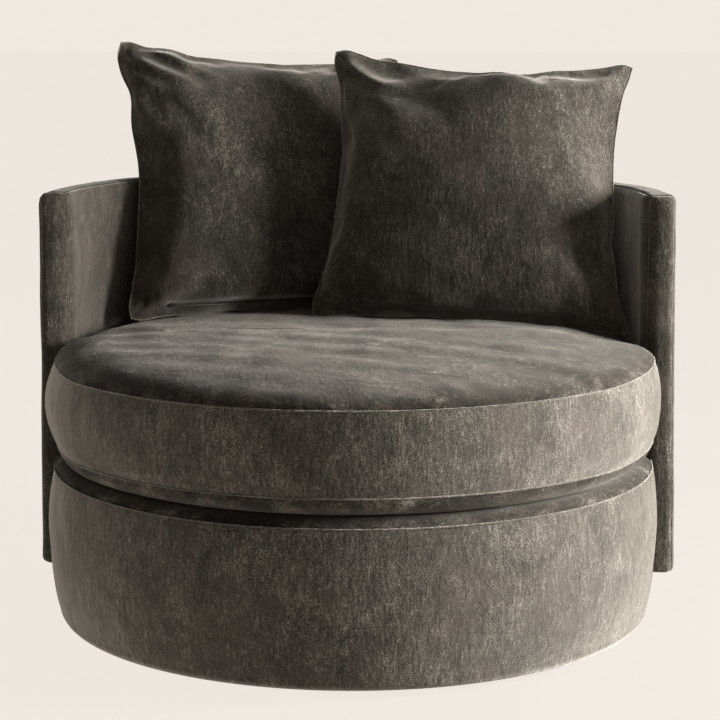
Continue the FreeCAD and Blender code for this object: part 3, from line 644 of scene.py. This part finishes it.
def make_shell():
    """The six velvet faces of the back and arms, their seams, and the padding inside."""
    low_u, low_v, low_w = SHELL_MIN
    high_u, high_v, high_w = SHELL_MAX
    us, vs, ws = (rounded_axis(*row) for row in zip(SHELL_MIN, SHELL_MAX, SHELL_CELLS))

    def face(name, fixed, value, flip, nodes, material, seed):
        if fixed == "u":
            grid = rounded_shell(value, vs[None, :], ws[:, None])
        elif fixed == "v":
            grid = rounded_shell(us[None, :], value, ws[:, None])
        else:
            grid = rounded_shell(us[:, None], vs[None, :], value)
        if flip:
            grid = grid[:, ::-1]
        inside = np.ones(grid.shape[:2])
        inside[0] = inside[-1] = 0
        inside[:, 0] = inside[:, -1] = 0
        amount = SHELL_SOFTNESS * (waves(grid, 0.11, seed) + 0.5 * waves(grid, 0.04, seed + 1))
        grid = softened(raised(grid, amount * inside))
        piece = new_piece(name, "chair", grid, grid_quads(*grid.shape[:2]), material)
        if nodes:
            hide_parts(*nodes)
        return backed(piece)

    face("shell_inner_velvet", "u", low_u, False, ["shell_inner_cover"], velvet_upright_painted_shade, 31)
    face("shell_outer_velvet", "u", high_u, True, ["shell_outer_cover"], velvet_upright_painted_shade, 41)
    face("right_arm_velvet", "v", low_v, True, ["right_arm_front_cover"], velvet_upright_painted_shade, 51)
    face("left_arm_velvet", "v", high_v, False, ["left_arm_front_cover"], velvet_upright_painted_shade, 61)
    face("shell_cap_velvet", "w", high_w, True, ["shell_top_cover"], velvet_flat_painted_shade, 71)
    face("shell_hem_velvet", "w", low_w, False, [], velvet_upright_painted_shade, 81)

    edge = 0.35 * SHELL_ROUND
    lines = {
        "cap_outer_seam": rounded_shell(high_u, vs, high_w),
        "cap_inner_seam": rounded_shell(low_u, vs, high_w),
        "right_arm_seam": rounded_shell(high_u - edge, low_v, ws),
        "left_arm_seam": rounded_shell(high_u - edge, high_v, ws),
        "right_cap_seam": rounded_shell(us, low_v, high_w),
        "left_cap_seam": rounded_shell(us, high_v, high_w),
    }
    for name, path in lines.items():
        tube(name, "chair", softened(path))
    for node in ("shell_inner_foam", "shell_outer_wadding", "shell_top_padding", "arm_front_pads"):
        reshaped(node, node + "_soft", "chair", lambda points: softened(points, FOAM_INSET))


# Seat cushion

def seat_ring(front_r, rear_r, z, scale=1.0):
    """Plan outline: a wide round front, and a rear that fits between the arms."""
    front_r, rear_r = front_r * scale, rear_r * scale
    counts = SEAT_COUNTS
    step, curl = SEAT_STEP_Y * scale, SEAT_STEP_ROUND * scale
    start_y = step - curl
    start_x = math.sqrt(front_r ** 2 - start_y ** 2)
    rear_x = math.sqrt(rear_r ** 2 - step ** 2)
    end = math.atan2(start_y, start_x)
    nose = -math.pi / 2 + (end + math.pi / 2) * np.linspace(0, 1, counts[0])
    half = [np.stack([front_r * np.cos(nose), front_r * np.sin(nose)], -1)]
    bend = math.pi / 2 * np.linspace(0, 1, counts[1] + 1)[1:]
    half.append(
        np.stack([start_x - curl + curl * np.cos(bend), start_y + curl * np.sin(bend)], -1)
    )
    run = np.linspace(start_x - curl, rear_x, counts[2] + 1)[1:]
    half.append(np.stack([run, np.full_like(run, step)], -1))
    start = math.asin(step / rear_r)
    tail = start + (math.pi / 2 - start) * np.linspace(0, 1, counts[3] + 1)[1:]
    half.append(np.stack([rear_r * np.cos(tail), rear_r * np.sin(tail)], -1))
    half = np.vstack(half)
    other = half[1:-1][::-1] * [-1, 1]
    plan = np.vstack([half, other])
    return np.hstack([plan, np.full((len(plan), 1), z)])


def pinched(points):
    """Draws the seams in at the two ends of the seat's round front."""
    x, y, z = (points[..., i] for i in range(3))
    r = np.maximum(np.hypot(x, y), 1e-6)
    amount = np.where(x < 0, SEAT_PINCH_LEFT, SEAT_PINCH_RIGHT)
    sideways = smooth((np.abs(x) / r - 0.80) / 0.20) * smooth((0.030 - y) / 0.030)
    middle, half = (SEAT_HIGH_Z + SEAT_LOW_Z) / 2, (SEAT_HIGH_Z - SEAT_LOW_Z) / 2
    height = np.clip(np.abs(z - middle) / half, 0, 1) ** 2
    amount = amount * height + SEAT_PINCH_MIDDLE * (1 - height)
    share = 1 - amount * sideways / SEAT_FRONT_R
    return np.stack([x * share, y * share, z], -1)


def make_seat():
    """The seat cushion: crown, border with its zip's groove, turned-in underside, seams."""
    tops = np.concatenate([[1.0, 0.997, 0.99, 0.98, 0.965], np.linspace(0.945, 0.04, 46)])
    rows = []
    for k in tops:
        rise = SEAT_CROWN * (1 - k ** 3) ** 0.45
        rows.append(seat_ring(SEAT_FRONT_R, SEAT_REAR_R, SEAT_HIGH_Z + rise, k))
    crown = pinched(np.array(rows))
    share = tops[:, None] * np.ones(crown.shape[1])
    loose = smooth((1 - share) / 0.05)
    uneven = 0.0025 + 0.0035 * waves(crown, 0.16, 101) + 0.0016 * waves(crown, 0.05, 102)
    pucker = 0.0012 * waves(crown * [1, 1, 0.2], 0.014, 103) * np.exp(-(1 - share) / 0.03)
    amount = uneven * loose + pucker * smooth((1 - share) / 0.01)
    crown = raised(crown, floored(amount), True)
    points, quads, fan = with_centre(crown)
    piece = new_piece("seat_top_velvet", "seat_cushion", points, quads, velvet_flat_painted_shade, fan)
    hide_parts("seat_top_panel")

    rows = []
    zip_t = (SEAT_ZIP_Z - SEAT_LOW_Z) / (SEAT_HIGH_Z - SEAT_LOW_Z)
    zip_half = SEAT_ZIP_HALF_H / (SEAT_HIGH_Z - SEAT_LOW_Z)
    groove = [zip_t + zip_half * k for k in (-1.25, -1.0, -0.85, 0.0, 0.85, 1.0, 1.25)]
    ups = np.sort(np.concatenate([np.linspace(0, 1, 40), groove]))
    for t in ups:
        bulge = math.sin(math.pi * t) ** 0.8 if 0 < t < 1 else 0.0
        front = SEAT_FRONT_R + (SEAT_BULGE_R - SEAT_FRONT_R) * bulge
        rear = SEAT_REAR_R + (SEAT_REAR_BULGE_R - SEAT_REAR_R) * bulge
        rows.append(seat_ring(front, rear, SEAT_LOW_Z + (SEAT_HIGH_Z - SEAT_LOW_Z) * t))
    border = pinched(np.array(rows))
    held = smooth(np.minimum(ups, 1 - ups) / 0.12)[:, None]
    uneven = 0.0016 * waves(border, 0.10, 111) + 0.0008 * waves(border, 0.035, 112)
    edge = np.exp(-np.minimum(ups, 1 - ups) / 0.10)[:, None]
    pucker = 0.0010 * waves(border * [1, 1, 0.25], 0.013, 113) * edge
    front = smooth((SEAT_STEP_Y - border[..., 1]) / 0.02)
    amount = (0.0008 + uneven) * held * (0.25 + 0.75 * front) + pucker * held * front
    border = raised(border, floored(amount), True)
    angle = np.degrees(np.arctan2(border[..., 1], border[..., 0]))
    zip_start, zip_end = SEAT_ZIP_ANGLES
    at_zip = smooth((angle - zip_start + 1) / 2) * smooth((zip_end + 1 - angle) / 2)
    at_zip = at_zip * (np.abs(border[..., 2] - SEAT_ZIP_Z) < SEAT_ZIP_HALF_H * 0.95)
    radius = np.hypot(border[..., 0], border[..., 1])
    sunk = 1 + (SEAT_ZIP_R / radius - 1) * at_zip
    border[..., :2] *= sunk[..., None]
    piece = new_piece(
        "seat_border_velvet",
        "seat_cushion",
        border,
        grid_quads(*border.shape[:2], closed=True),
        velvet_drum_painted_light,
    )
    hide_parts("seat_border")

    rows = []
    for k in (1.0, 0.997, 0.99, 0.98, 0.965, 0.95, 0.93, 0.90, 0.86, 0.7, 0.4, 0.1):
        down = math.sqrt(1 - (1 - min(1.0, (1 - k) / SEAT_TURN_IN)) ** 2)
        rows.append(seat_ring(SEAT_FRONT_R, SEAT_REAR_R, SEAT_LOW_Z - SEAT_DROP * down, k))
    under = pinched(np.array(rows))[:, ::-1]
    points, quads, fan = with_centre(under)
    piece = new_piece("seat_under_velvet", "seat_cushion", points, quads, velvet_flat_painted_shade, fan)
    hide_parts("seat_bottom_panel")

    for name, z in (("seat_top_seam", SEAT_HIGH_Z), ("seat_low_seam", SEAT_LOW_Z)):
        ring = pinched(seat_ring(SEAT_FRONT_R + 0.0006, SEAT_REAR_R, z))
        tube(name, "seat_cushion", ring, closed=True)
    foam = reshaped("seat_foam", "seat_foam_soft", "seat_cushion", pinched)


# Back cushions

def sewn_panels(name, width, height, seed):
    """Two flat panels with rounded corners, sewn along their edges and a little domed."""
    n = PILLOW_CELLS
    rng = np.random.default_rng(seed)
    side = np.linspace(-0.5, 0.5, n + 1)
    x, y = np.meshgrid(side * width, side * height, indexing="ij")
    dome = 0.02 * (1 - (2 * x / width) ** 2) * (1 - (2 * y / height) ** 2)
    r = PILLOW_CORNER
    inner_x = np.clip(x, r - width / 2, width / 2 - r)
    inner_y = np.clip(y, r - height / 2, height / 2 - r)
    dx, dy = x - inner_x, y - inner_y
    length = np.maximum(np.hypot(dx, dy), 1e-9)
    keep = np.maximum(np.abs(dx), np.abs(dy)) / length
    corner = (np.abs(dx) > 0) & (np.abs(dy) > 0)
    x = np.where(corner, inner_x + dx * keep, x)
    y = np.where(corner, inner_y + dy * keep, y)
    front = np.stack([x, y, dome], -1).reshape(-1, 3)
    rear = np.stack([x, y, -dome], -1)[1:-1, 1:-1].reshape(-1, 3)
    points = np.vstack([front, rear])
    points += rng.normal(size=points.shape) * 0.0003
    index_front = np.arange((n + 1) ** 2).reshape(n + 1, n + 1)
    index_rear = index_front.copy()
    index_rear[1:-1, 1:-1] = np.arange((n - 1) ** 2).reshape(n - 1, n - 1) + len(front)

    def quads(index, turned):
        corners = [index[:-1, :-1], index[1:, :-1], index[1:, 1:], index[:-1, 1:]]
        if turned:
            corners = corners[::-1]
        return np.stack(corners, -1).reshape(-1, 4)

    faces = np.vstack([quads(index_front, False), quads(index_rear, True)])
    mesh = bpy.data.meshes.new(name)
    mesh.from_pydata(points.tolist(), [], faces.tolist())
    return linked(name, mesh), index_front, index_rear


def blown_up(work):
    """Fills a sewn case by cloth simulation up to its volume, and returns its points."""
    cloth = work.modifiers.new("fill", "CLOTH")
    settings = cloth.settings
    settings.quality = 6
    settings.mass = 0.3
    settings.tension_stiffness = settings.compression_stiffness = 30
    settings.shear_stiffness = 9
    settings.bending_stiffness = 0.2
    settings.tension_damping = settings.compression_damping = settings.shear_damping = 10
    settings.air_damping = 3
    settings.use_pressure = True
    settings.use_pressure_volume = True
    settings.target_volume = PILLOW_VOLUME
    settings.pressure_factor = 2
    settings.uniform_pressure_force = 0
    settings.effector_weights.gravity = 0
    cloth.collision_settings.use_collision = False
    cloth.point_cache.frame_start = 1
    cloth.point_cache.frame_end = PILLOW_FRAMES
    for step in range(1, PILLOW_FRAMES + 1):
        scene.frame_set(step)
    done = work.evaluated_get(bpy.context.evaluated_depsgraph_get())
    points = np.zeros(len(done.data.vertices) * 3, np.float32)
    done.data.vertices.foreach_get("co", points)
    scene.frame_set(1)
    return points.reshape(-1, 3).astype(float)


def filled_case(cushion, width, height):
    """Front and rear sheets of points of a filled case, (across, up, out) in metres."""
    work, index_front, index_rear = sewn_panels(
        cushion["name"] + "_work", width, height, cushion["seed"]
    )
    points = blown_up(work)
    bpy.data.objects.remove(work)
    return points[index_front], points[index_rear]


def finer(grid, times):
    """More points between those of a grid, on smooth curves through them."""
    for axis in (0, 1):
        grid = np.moveaxis(grid, axis, 0)
        count = len(grid)
        before, after = 2 * grid[:1] - grid[1:2], 2 * grid[-1:] - grid[-2:-1]
        longer = np.concatenate([before, grid, after])
        place = np.linspace(0, count - 1, (count - 1) * times + 1)
        base = np.minimum(place.astype(int), count - 2)
        t = (place - base)[:, None, None]
        p0, p1, p2, p3 = (longer[base + i] for i in range(4))
        grid = 0.5 * (
            2 * p1
            + (p2 - p0) * t
            + (2 * p0 - 5 * p1 + 4 * p2 - p3) * t * t
            + (3 * p1 - p0 - 3 * p2 + p3) * t * t * t
        )
        grid = np.moveaxis(grid, 0, axis)
    return grid


def ear_rounding(s, r, size):
    """How far points near the corners move in, so that each corner is a round ear."""
    result, inward = [], []
    for share, length in ((s, size[0]), (r, size[1])):
        from_edge = np.minimum(share, 1 - share) * length
        inward.append(np.clip(EAR_ROUND - from_edge, 0, None))
    reach = np.maximum(np.hypot(inward[0], inward[1]), 1e-9)
    keep = np.maximum(inward[0], inward[1]) / reach
    for share, part in ((s, inward[0]), (r, inward[1])):
        result.append(np.where(share < 0.5, 1, -1) * part * (1 - keep))
    return np.concatenate(np.broadcast_arrays(*result), -1)


def rim_field(depth):
    """A smooth sheet spanned by the rim of a grid of depths."""
    t = np.linspace(0, 1, len(depth))
    s, r = t[:, None], t[None]
    between_sides = (1 - s) * depth[:1] + s * depth[-1:]
    between_ends = (1 - r) * depth[:, :1] + r * depth[:, -1:]
    corners = (1 - s) * ((1 - r) * depth[0, 0] + r * depth[0, -1])
    corners = corners + s * ((1 - r) * depth[-1, 0] + r * depth[-1, -1])
    return between_sides + between_ends - corners


def fitted(front, rear, cushion):
    """Moves the case so that its corners and its bowed sides lie where they should."""
    n = len(front)
    t = np.linspace(0, 1, n)
    spread = EAR_ROUND * (1 - math.sqrt(0.5))
    corners = [np.array(c) + spread * np.sign(c) for c in cushion["corners"]]
    top_left, top_right, bottom_right, bottom_left = corners
    drawn_top, drawn_right, drawn_bottom, drawn_left = [d + spread for d in cushion["drawn_in"]]
    bow_top, bow_right, bow_bottom, bow_left = cushion["bows"]

    def side(edge, start, end, drawn, power):
        """How far one side's points have to move, with their small unevenness kept."""
        inward = -(start + end) / np.linalg.norm(start + end)
        bow = (1 - np.abs(2 * t - 1) ** power)[:, None] * drawn * inward
        wanted = start + (end - start) * t[:, None] + bow
        weight = np.where((t < 0.02) | (t > 0.98), EDGE_END_WEIGHT, 1.0)
        fits = [np.polyfit(t, edge[:, i], EDGE_DEGREE, w=weight) for i in (0, 1)]
        plain = np.stack([np.polyval(fit, t) for fit in fits], -1)
        fade = smooth(np.minimum(t, 1 - t) / 0.06)[:, None]
        return wanted + (edge[:, :2] - plain) * fade * EDGE_KEPT - edge[:, :2]

    bottom = side(front[:, 0], bottom_left, bottom_right, drawn_bottom, bow_bottom)
    top = side(front[:, -1], top_left, top_right, drawn_top, bow_top)
    left = side(front[0], bottom_left, top_left, drawn_left, bow_left)
    right = side(front[-1], bottom_right, top_right, drawn_right, bow_right)
    s, r = t[:, None, None], t[None, :, None]
    corners = (
        (1 - s) * (1 - r) * bottom[0]
        + s * (1 - r) * bottom[-1]
        + s * r * top[-1]
        + (1 - s) * r * top[0]
    )
    move = (1 - r) * bottom[:, None] + r * top[:, None] - corners
    move = move + (1 - s) * left[None] + s * right[None]
    move = move + ear_rounding(s, r, top_right - bottom_left)
    across, up = 2 * s[..., 0] - 1, 2 * r[..., 0] - 1
    power = PLUMP_SQUARENESS
    reach = (np.abs(across) ** power + np.abs(up) ** power) ** (1 / power)
    plump = PILLOW_HALF_T * np.clip(1 - reach ** 2, 0, None) ** PLUMP_POWER
    low = smooth((PLUMP_LOW_SHARE - r[..., 0]) / PLUMP_LOW_FADE)
    rim = rim_field(front[..., 2])
    result = []
    for grid, sign in ((front, 1), (rear, -1)):
        out = grid.copy()
        out[..., :2] += move
        depth = sign * (out[..., 2] - rim)
        depth *= PILLOW_HALF_T / depth.max() * (1.02 - 0.06 * up)
        blend = np.sqrt((depth - plump) ** 2 + PLUMP_BLEND ** 2) - PLUMP_BLEND
        depth = depth + ((depth + plump + blend) / 2 - depth) * low
        out[..., 2] = sign * depth + rim - rim.mean()
        result.append(out)
    return result


def pillow_axes(cushion):
    """Directions across, up and out of a leaning cushion's seam plane."""
    turn, lean = math.radians(cushion["turn"]), math.radians(cushion["lean"])
    across = np.array([math.cos(turn), math.sin(turn), 0.0])
    back = np.array([-math.sin(turn), math.cos(turn), 0.0])
    up = np.array([0.0, 0.0, 1.0]) * math.cos(lean) + back * math.sin(lean)
    return across, up, np.cross(across, up)


def from_zip(grid, cushion):
    """How far points lie along the zip from its middle, and above it."""
    left, right = np.array(cushion["corners"][3]), np.array(cushion["corners"][2])
    along = (right - left) / np.linalg.norm(right - left)
    rise = np.array([-along[1], along[0]])
    middle = (left + right) / 2 + rise * (cushion["drawn_in"][2] + ZIP_RISE)
    offset = grid[..., :2] - middle
    return offset @ along, offset @ rise


def zip_groove(front, cushion):
    """Sinks the front sheet to the zip, a narrow slot just above the bottom seam."""
    x, h = from_zip(front, cushion)
    ends = smooth((ZIP_HALF_L + 0.008 - np.abs(x)) / 0.012)
    slot = np.exp(-((h / 0.0040) ** 4)) * ends
    front = front.copy()
    depth = front[..., 2]
    front[..., 2] = np.where(depth > ZIP_FLOOR, depth + (ZIP_FLOOR - depth) * slot, depth)
    return front


def calmer(grid, passes):
    """Smooths a grid of points, its inside and then along its rim."""
    for _ in range(passes):
        grid = grid.copy()
        inside = (grid[:-2, 1:-1] + grid[2:, 1:-1] + grid[1:-1, :-2] + grid[1:-1, 2:]) / 4
        grid[1:-1, 1:-1] = (grid[1:-1, 1:-1] + inside) / 2
        for edge in (0, -1):
            grid[edge, 1:-1] = grid[edge, 1:-1] / 2 + (grid[edge, :-2] + grid[edge, 2:]) / 4
            grid[1:-1, edge] = grid[1:-1, edge] / 2 + (grid[:-2, edge] + grid[2:, edge]) / 4
    return grid


def folded(front, folds):
    """Lays soft folds in the front sheet: a ridge with a hollow below it."""
    front = front.copy()
    for start, end, height, width in folds:
        start, end = np.array(start), np.array(end)
        length = np.linalg.norm(end - start)
        way = (end - start) / length
        offset = front[..., :2] - start
        along = offset @ way / length
        side = offset @ np.array([-way[1], way[0]])
        side = side + 0.012 * np.sin(along * 2.4)
        fade = smooth(along / 0.25 + 0.3) * smooth((1 - along) / 0.7)
        ridge = np.exp(-((side / width) ** 2))
        hollow = np.exp(-(((side + 2.1 * width) / (1.3 * width)) ** 2))
        depth = front[..., 2]
        room = smooth(depth / 0.03)
        front[..., 2] = depth + height * fade * (ridge - 0.8 * hollow) * room
    return front


def padding(front, rear):
    """The two sheets of the feather pad just inside those of the cover."""
    rim = rim_field(front[..., 2])
    across = np.linspace(-1, 1, len(front))
    corner = (across[:, None] * across[None]) ** 4
    share = (PAD_SHARE - PAD_CORNER_GAP * corner)[..., None]
    sheets = []
    for grid, sign in ((front, 1), (rear, -1)):
        inner = grid.copy()
        inner[..., :2] *= share
        depth = np.clip(sign * (grid[..., 2] - rim), 0, None)
        for _ in range(PAD_SHRINKS):
            depth[1:-1, 1:-1] = np.minimum.reduce(
                [
                    depth[1:-1, 1:-1],
                    depth[:-2, 1:-1],
                    depth[2:, 1:-1],
                    depth[1:-1, :-2],
                    depth[1:-1, 2:],
                ]
            )
        inner[..., 2] = rim + sign * np.clip(0.97 * depth - 0.006, 0, None)
        sheets.append(inner)
    return sheets


def make_back_cushion(cushion, material):
    """A simulated case fitted to its corners, with folds, gathers, zip groove and pad."""
    corners = np.array(cushion["corners"])
    width = (corners[1, 0] - corners[0, 0] + corners[2, 0] - corners[3, 0]) / 2 * PILLOW_CASE
    height = (corners[0, 1] - corners[3, 1] + corners[1, 1] - corners[2, 1]) / 2 * PILLOW_CASE
    front, rear = filled_case(cushion, width, height)
    front, rear = calmer(front, PILLOW_CALMING), calmer(rear, PILLOW_CALMING)
    for edge in (0, -1):
        rear[edge], rear[:, edge] = front[edge], front[:, edge]
    front, rear = finer(front, PILLOW_FINER), finer(rear, PILLOW_FINER)
    front, rear = fitted(front, rear, cushion)
    n = len(front)
    t = np.linspace(0, 1, n)
    edge_x = np.minimum(t, 1 - t)[:, None] * width
    edge_y = np.minimum(t, 1 - t)[None] * height
    edge = np.minimum(edge_x, edge_y)
    gather = np.exp(-edge / 0.022) * smooth(edge / 0.006)
    for grid, sign, seed in ((front, 1, 201), (rear, -1, 301)):
        puckers = 0.0013 * waves(grid * [1, 1, 0.3], 0.011, seed + cushion["seed"])
        dents = 0.0020 * waves(grid, 0.08, seed + 7 + cushion["seed"])
        grid[..., 2] += sign * (puckers * gather + dents * smooth(edge / 0.06))
    front = zip_groove(folded(front, cushion["folds"]), cushion)
    across, up, out = pillow_axes(cushion)
    centre = np.array(cushion["centre"])
    place = np.stack([across, up, out])
    name, body = cushion["name"], cushion["body"]
    for grid, part, turned in ((front, "front", False), (rear, "rear", True)):
        points = centre + grid @ place
        if turned:
            points = points[::-1]
        quads = grid_quads(n, n)[:, ::-1]
        piece = new_piece(f"{name}_{part}_velvet", body, points, quads, material)
        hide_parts(f"{name}_{part}_cover")
    points = np.vstack([(centre + pad @ place).reshape(-1, 3) for pad in padding(front, rear)])
    quads = np.vstack([grid_quads(n, n)[:, ::-1], grid_quads(n, n, start=n * n)])
    pad = new_piece(f"{name}_feather_pad", body, points, quads, FRAME_MATERIALS["feather_ticking"])
    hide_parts(f"{name}_pad")
    rim = np.vstack([front[:-1, 0], front[-1, :-1], front[:0:-1, -1], front[0, :0:-1]])
    tube(f"{name}_seam", body, centre + rim @ place, closed=True)


# Materials of the frame's own pieces

def plain_fibre(name, color, low, high, scale, roughness=0.9):
    made = Nodes(name, color, roughness, Specular_IOR_Level=0.2)
    fine = made.noise(scale=scale, detail=4, rough=0.65)
    made.color(made.ramp(fine, ((0.3, low), (0.7, high))))
    made.bump(fine, 0.001, 0.5)
    return made.material


def wood(name, dark, light, stretch, scale):
    """Grain stretched along the wood, with fine pores."""
    made = Nodes(name, light, 0.6, Specular_IOR_Level=0.35)
    grain = made.noise(stretch, scale, 5, 0.6, 0.0, 0.8)
    pores = made.noise(stretch, scale * 8, 2, 0.5, 3.0)
    value = made.total([(grain, 1.4), (pores, 0.5)])
    made.color(made.ramp(value, ((0.15, dark), (0.85, light))))
    made.roughness(grain, 0.45, 0.75)
    made.bump(value, 0.0004, 0.4)
    return made.material


def metal(name, color, roughness):
    made = Nodes(name, color, roughness, Metallic=1.0)
    worn = made.noise(scale=90.0, detail=4, rough=0.6)
    darker = tuple(c * 0.7 for c in color)
    made.color(made.ramp(worn, ((0.3, darker), (0.7, color))))
    made.roughness(worn, roughness - 0.1, roughness + 0.15)
    made.bump(worn, 0.0002, 0.3)
    return made.material


def woven(name, color, scale):
    """Threads across and down."""
    made = Nodes(name, color, 0.85, Specular_IOR_Level=0.2)
    across = made.noise((1, 1, 6), scale, 2, 0.5)
    down = made.noise((6, 6, 1), scale, 2, 0.5, 4.0)
    value = made.total([(across, 1.0), (down, 1.0)])
    low = tuple(c * 0.6 for c in color)
    high = tuple(min(1.0, c * 1.5) for c in color)
    made.color(made.ramp(value, ((0.3, low), (0.7, high))))
    made.bump(value, 0.0004, 0.5)
    return made.material


FRAME_MATERIALS = {
    "foam": plain_fibre(
        "cut_foam", (0.7, 0.64, 0.4), (0.55, 0.48, 0.28), (0.78, 0.72, 0.5), 420
    ),
    "wadding": plain_fibre(
        "fibre_wadding", (0.8, 0.8, 0.78), (0.62, 0.62, 0.6), (0.86, 0.86, 0.84), 130
    ),
    "feather_ticking": woven("ticking", (0.72, 0.69, 0.62), 700),
    "felt": plain_fibre(
        "needled_felt", (0.12, 0.115, 0.11), (0.06, 0.058, 0.055), (0.2, 0.19, 0.18), 260
    ),
    "dust_cloth": plain_fibre(
        "dust_cloth", (0.012, 0.012, 0.012), (0.006, 0.006, 0.006), (0.02, 0.02, 0.02), 500
    ),
    "plywood": wood("birch_plywood", (0.36, 0.22, 0.1), (0.62, 0.45, 0.25), (1, 6, 30), 7.0),
    "hardwood": wood("planed_hardwood", (0.28, 0.15, 0.07), (0.5, 0.31, 0.16), (12, 12, 1), 5.0),
    "hardboard": wood("bent_hardboard", (0.09, 0.045, 0.02), (0.17, 0.09, 0.045), (1, 1, 1), 160.0),
    "spring_steel": metal("spring_steel", (0.42, 0.42, 0.42), 0.3),
    "zinc_steel": metal("zinc_steel", (0.6, 0.61, 0.63), 0.35),
    "nylon": plain_fibre(
        "black_nylon", (0.012, 0.012, 0.012), (0.009, 0.009, 0.009), (0.02, 0.02, 0.02), 300, 0.45
    ),
    "zip_tape": woven("zip_tape", (0.018, 0.016, 0.013), 900),
    "zip_metal": metal("zip_metal", (0.05, 0.045, 0.04), 0.4),
    "velvet": velvet_upright_painted_shade,
}
slots = {row["node"]: row["material_slot"] for row in frame["record"]["subparts"]}
for name, node in frame["nodes"].items():
    node.data.materials.clear()
    node.data.materials.append(FRAME_MATERIALS[slots[name]])


make_drum()
make_shell()
make_seat()
make_back_cushion(LEFT_BACK, velvet_left_painted_shade)
make_back_cushion(RIGHT_BACK, velvet_right_painted_light_and_shade)


# Floor, light and camera

def make_room():
    """A pale glowing floor that meets a pale band of the world at the horizon."""
    side = FLOOR_HALF
    mesh = bpy.data.meshes.new("floor")
    corners = [(-side, -side, 0), (side, -side, 0), (side, side, 0), (-side, side, 0)]
    mesh.from_pydata(corners, [], [(0, 1, 2, 3)])
    floor = linked("floor", mesh)
    material = bpy.data.materials.new("pale_floor")
    material.use_nodes = True
    shader = material.node_tree.nodes["Principled BSDF"]
    shader.inputs["Base Color"].default_value = (*FLOOR_TONE, 1)
    shader.inputs["Roughness"].default_value = 0.9
    shader.inputs["Specular IOR Level"].default_value = 0.0
    shader.inputs["Emission Color"].default_value = (*PALE, 1)
    shader.inputs["Emission Strength"].default_value = FLOOR_GLOW
    mesh.materials.append(material)

    world = bpy.data.worlds.new("studio")
    scene.world = world
    world.use_nodes = True
    tree = world.node_tree
    place = tree.nodes.new("ShaderNodeTexCoord")
    split = tree.nodes.new("ShaderNodeSeparateXYZ")
    tree.links.new(place.outputs["Generated"], split.inputs[0])
    ramp = tree.nodes.new("ShaderNodeValToRGB")
    for element, height, tone in zip(ramp.color_ramp.elements, WORLD_BAND, (PALE, WORLD_TONE)):
        element.position = height
        element.color = (*tone, 1)
    tree.links.new(split.outputs["Z"], ramp.inputs["Fac"])
    tree.links.new(ramp.outputs["Color"], tree.nodes["Background"].inputs["Color"])


def aimed(name, data, place, way):
    """A lamp or camera that looks along a way."""
    made = linked(name, data)
    made.location = place
    made.rotation_mode = "QUATERNION"
    made.rotation_quaternion = Vector(way).to_track_quat("-Z", "Y")
    return made


def make_lights():
    for name, place, target, size, power in LIGHTS:
        light = bpy.data.lights.new(name, "AREA")
        light.energy = power
        light.size = size
        lamp = aimed(name, light, place, Vector(target) - Vector(place))
        lamp.visible_camera = False


def make_camera():
    data = bpy.data.cameras.new("camera")
    data.sensor_width = SENSOR_WIDTH
    data.lens = CAMERA_LENS
    scene.camera = aimed("camera", data, CAMERA_PLACE, CAMERA_WAY)


make_room()
make_lights()
make_camera()
scene.view_settings.view_transform = "Standard"
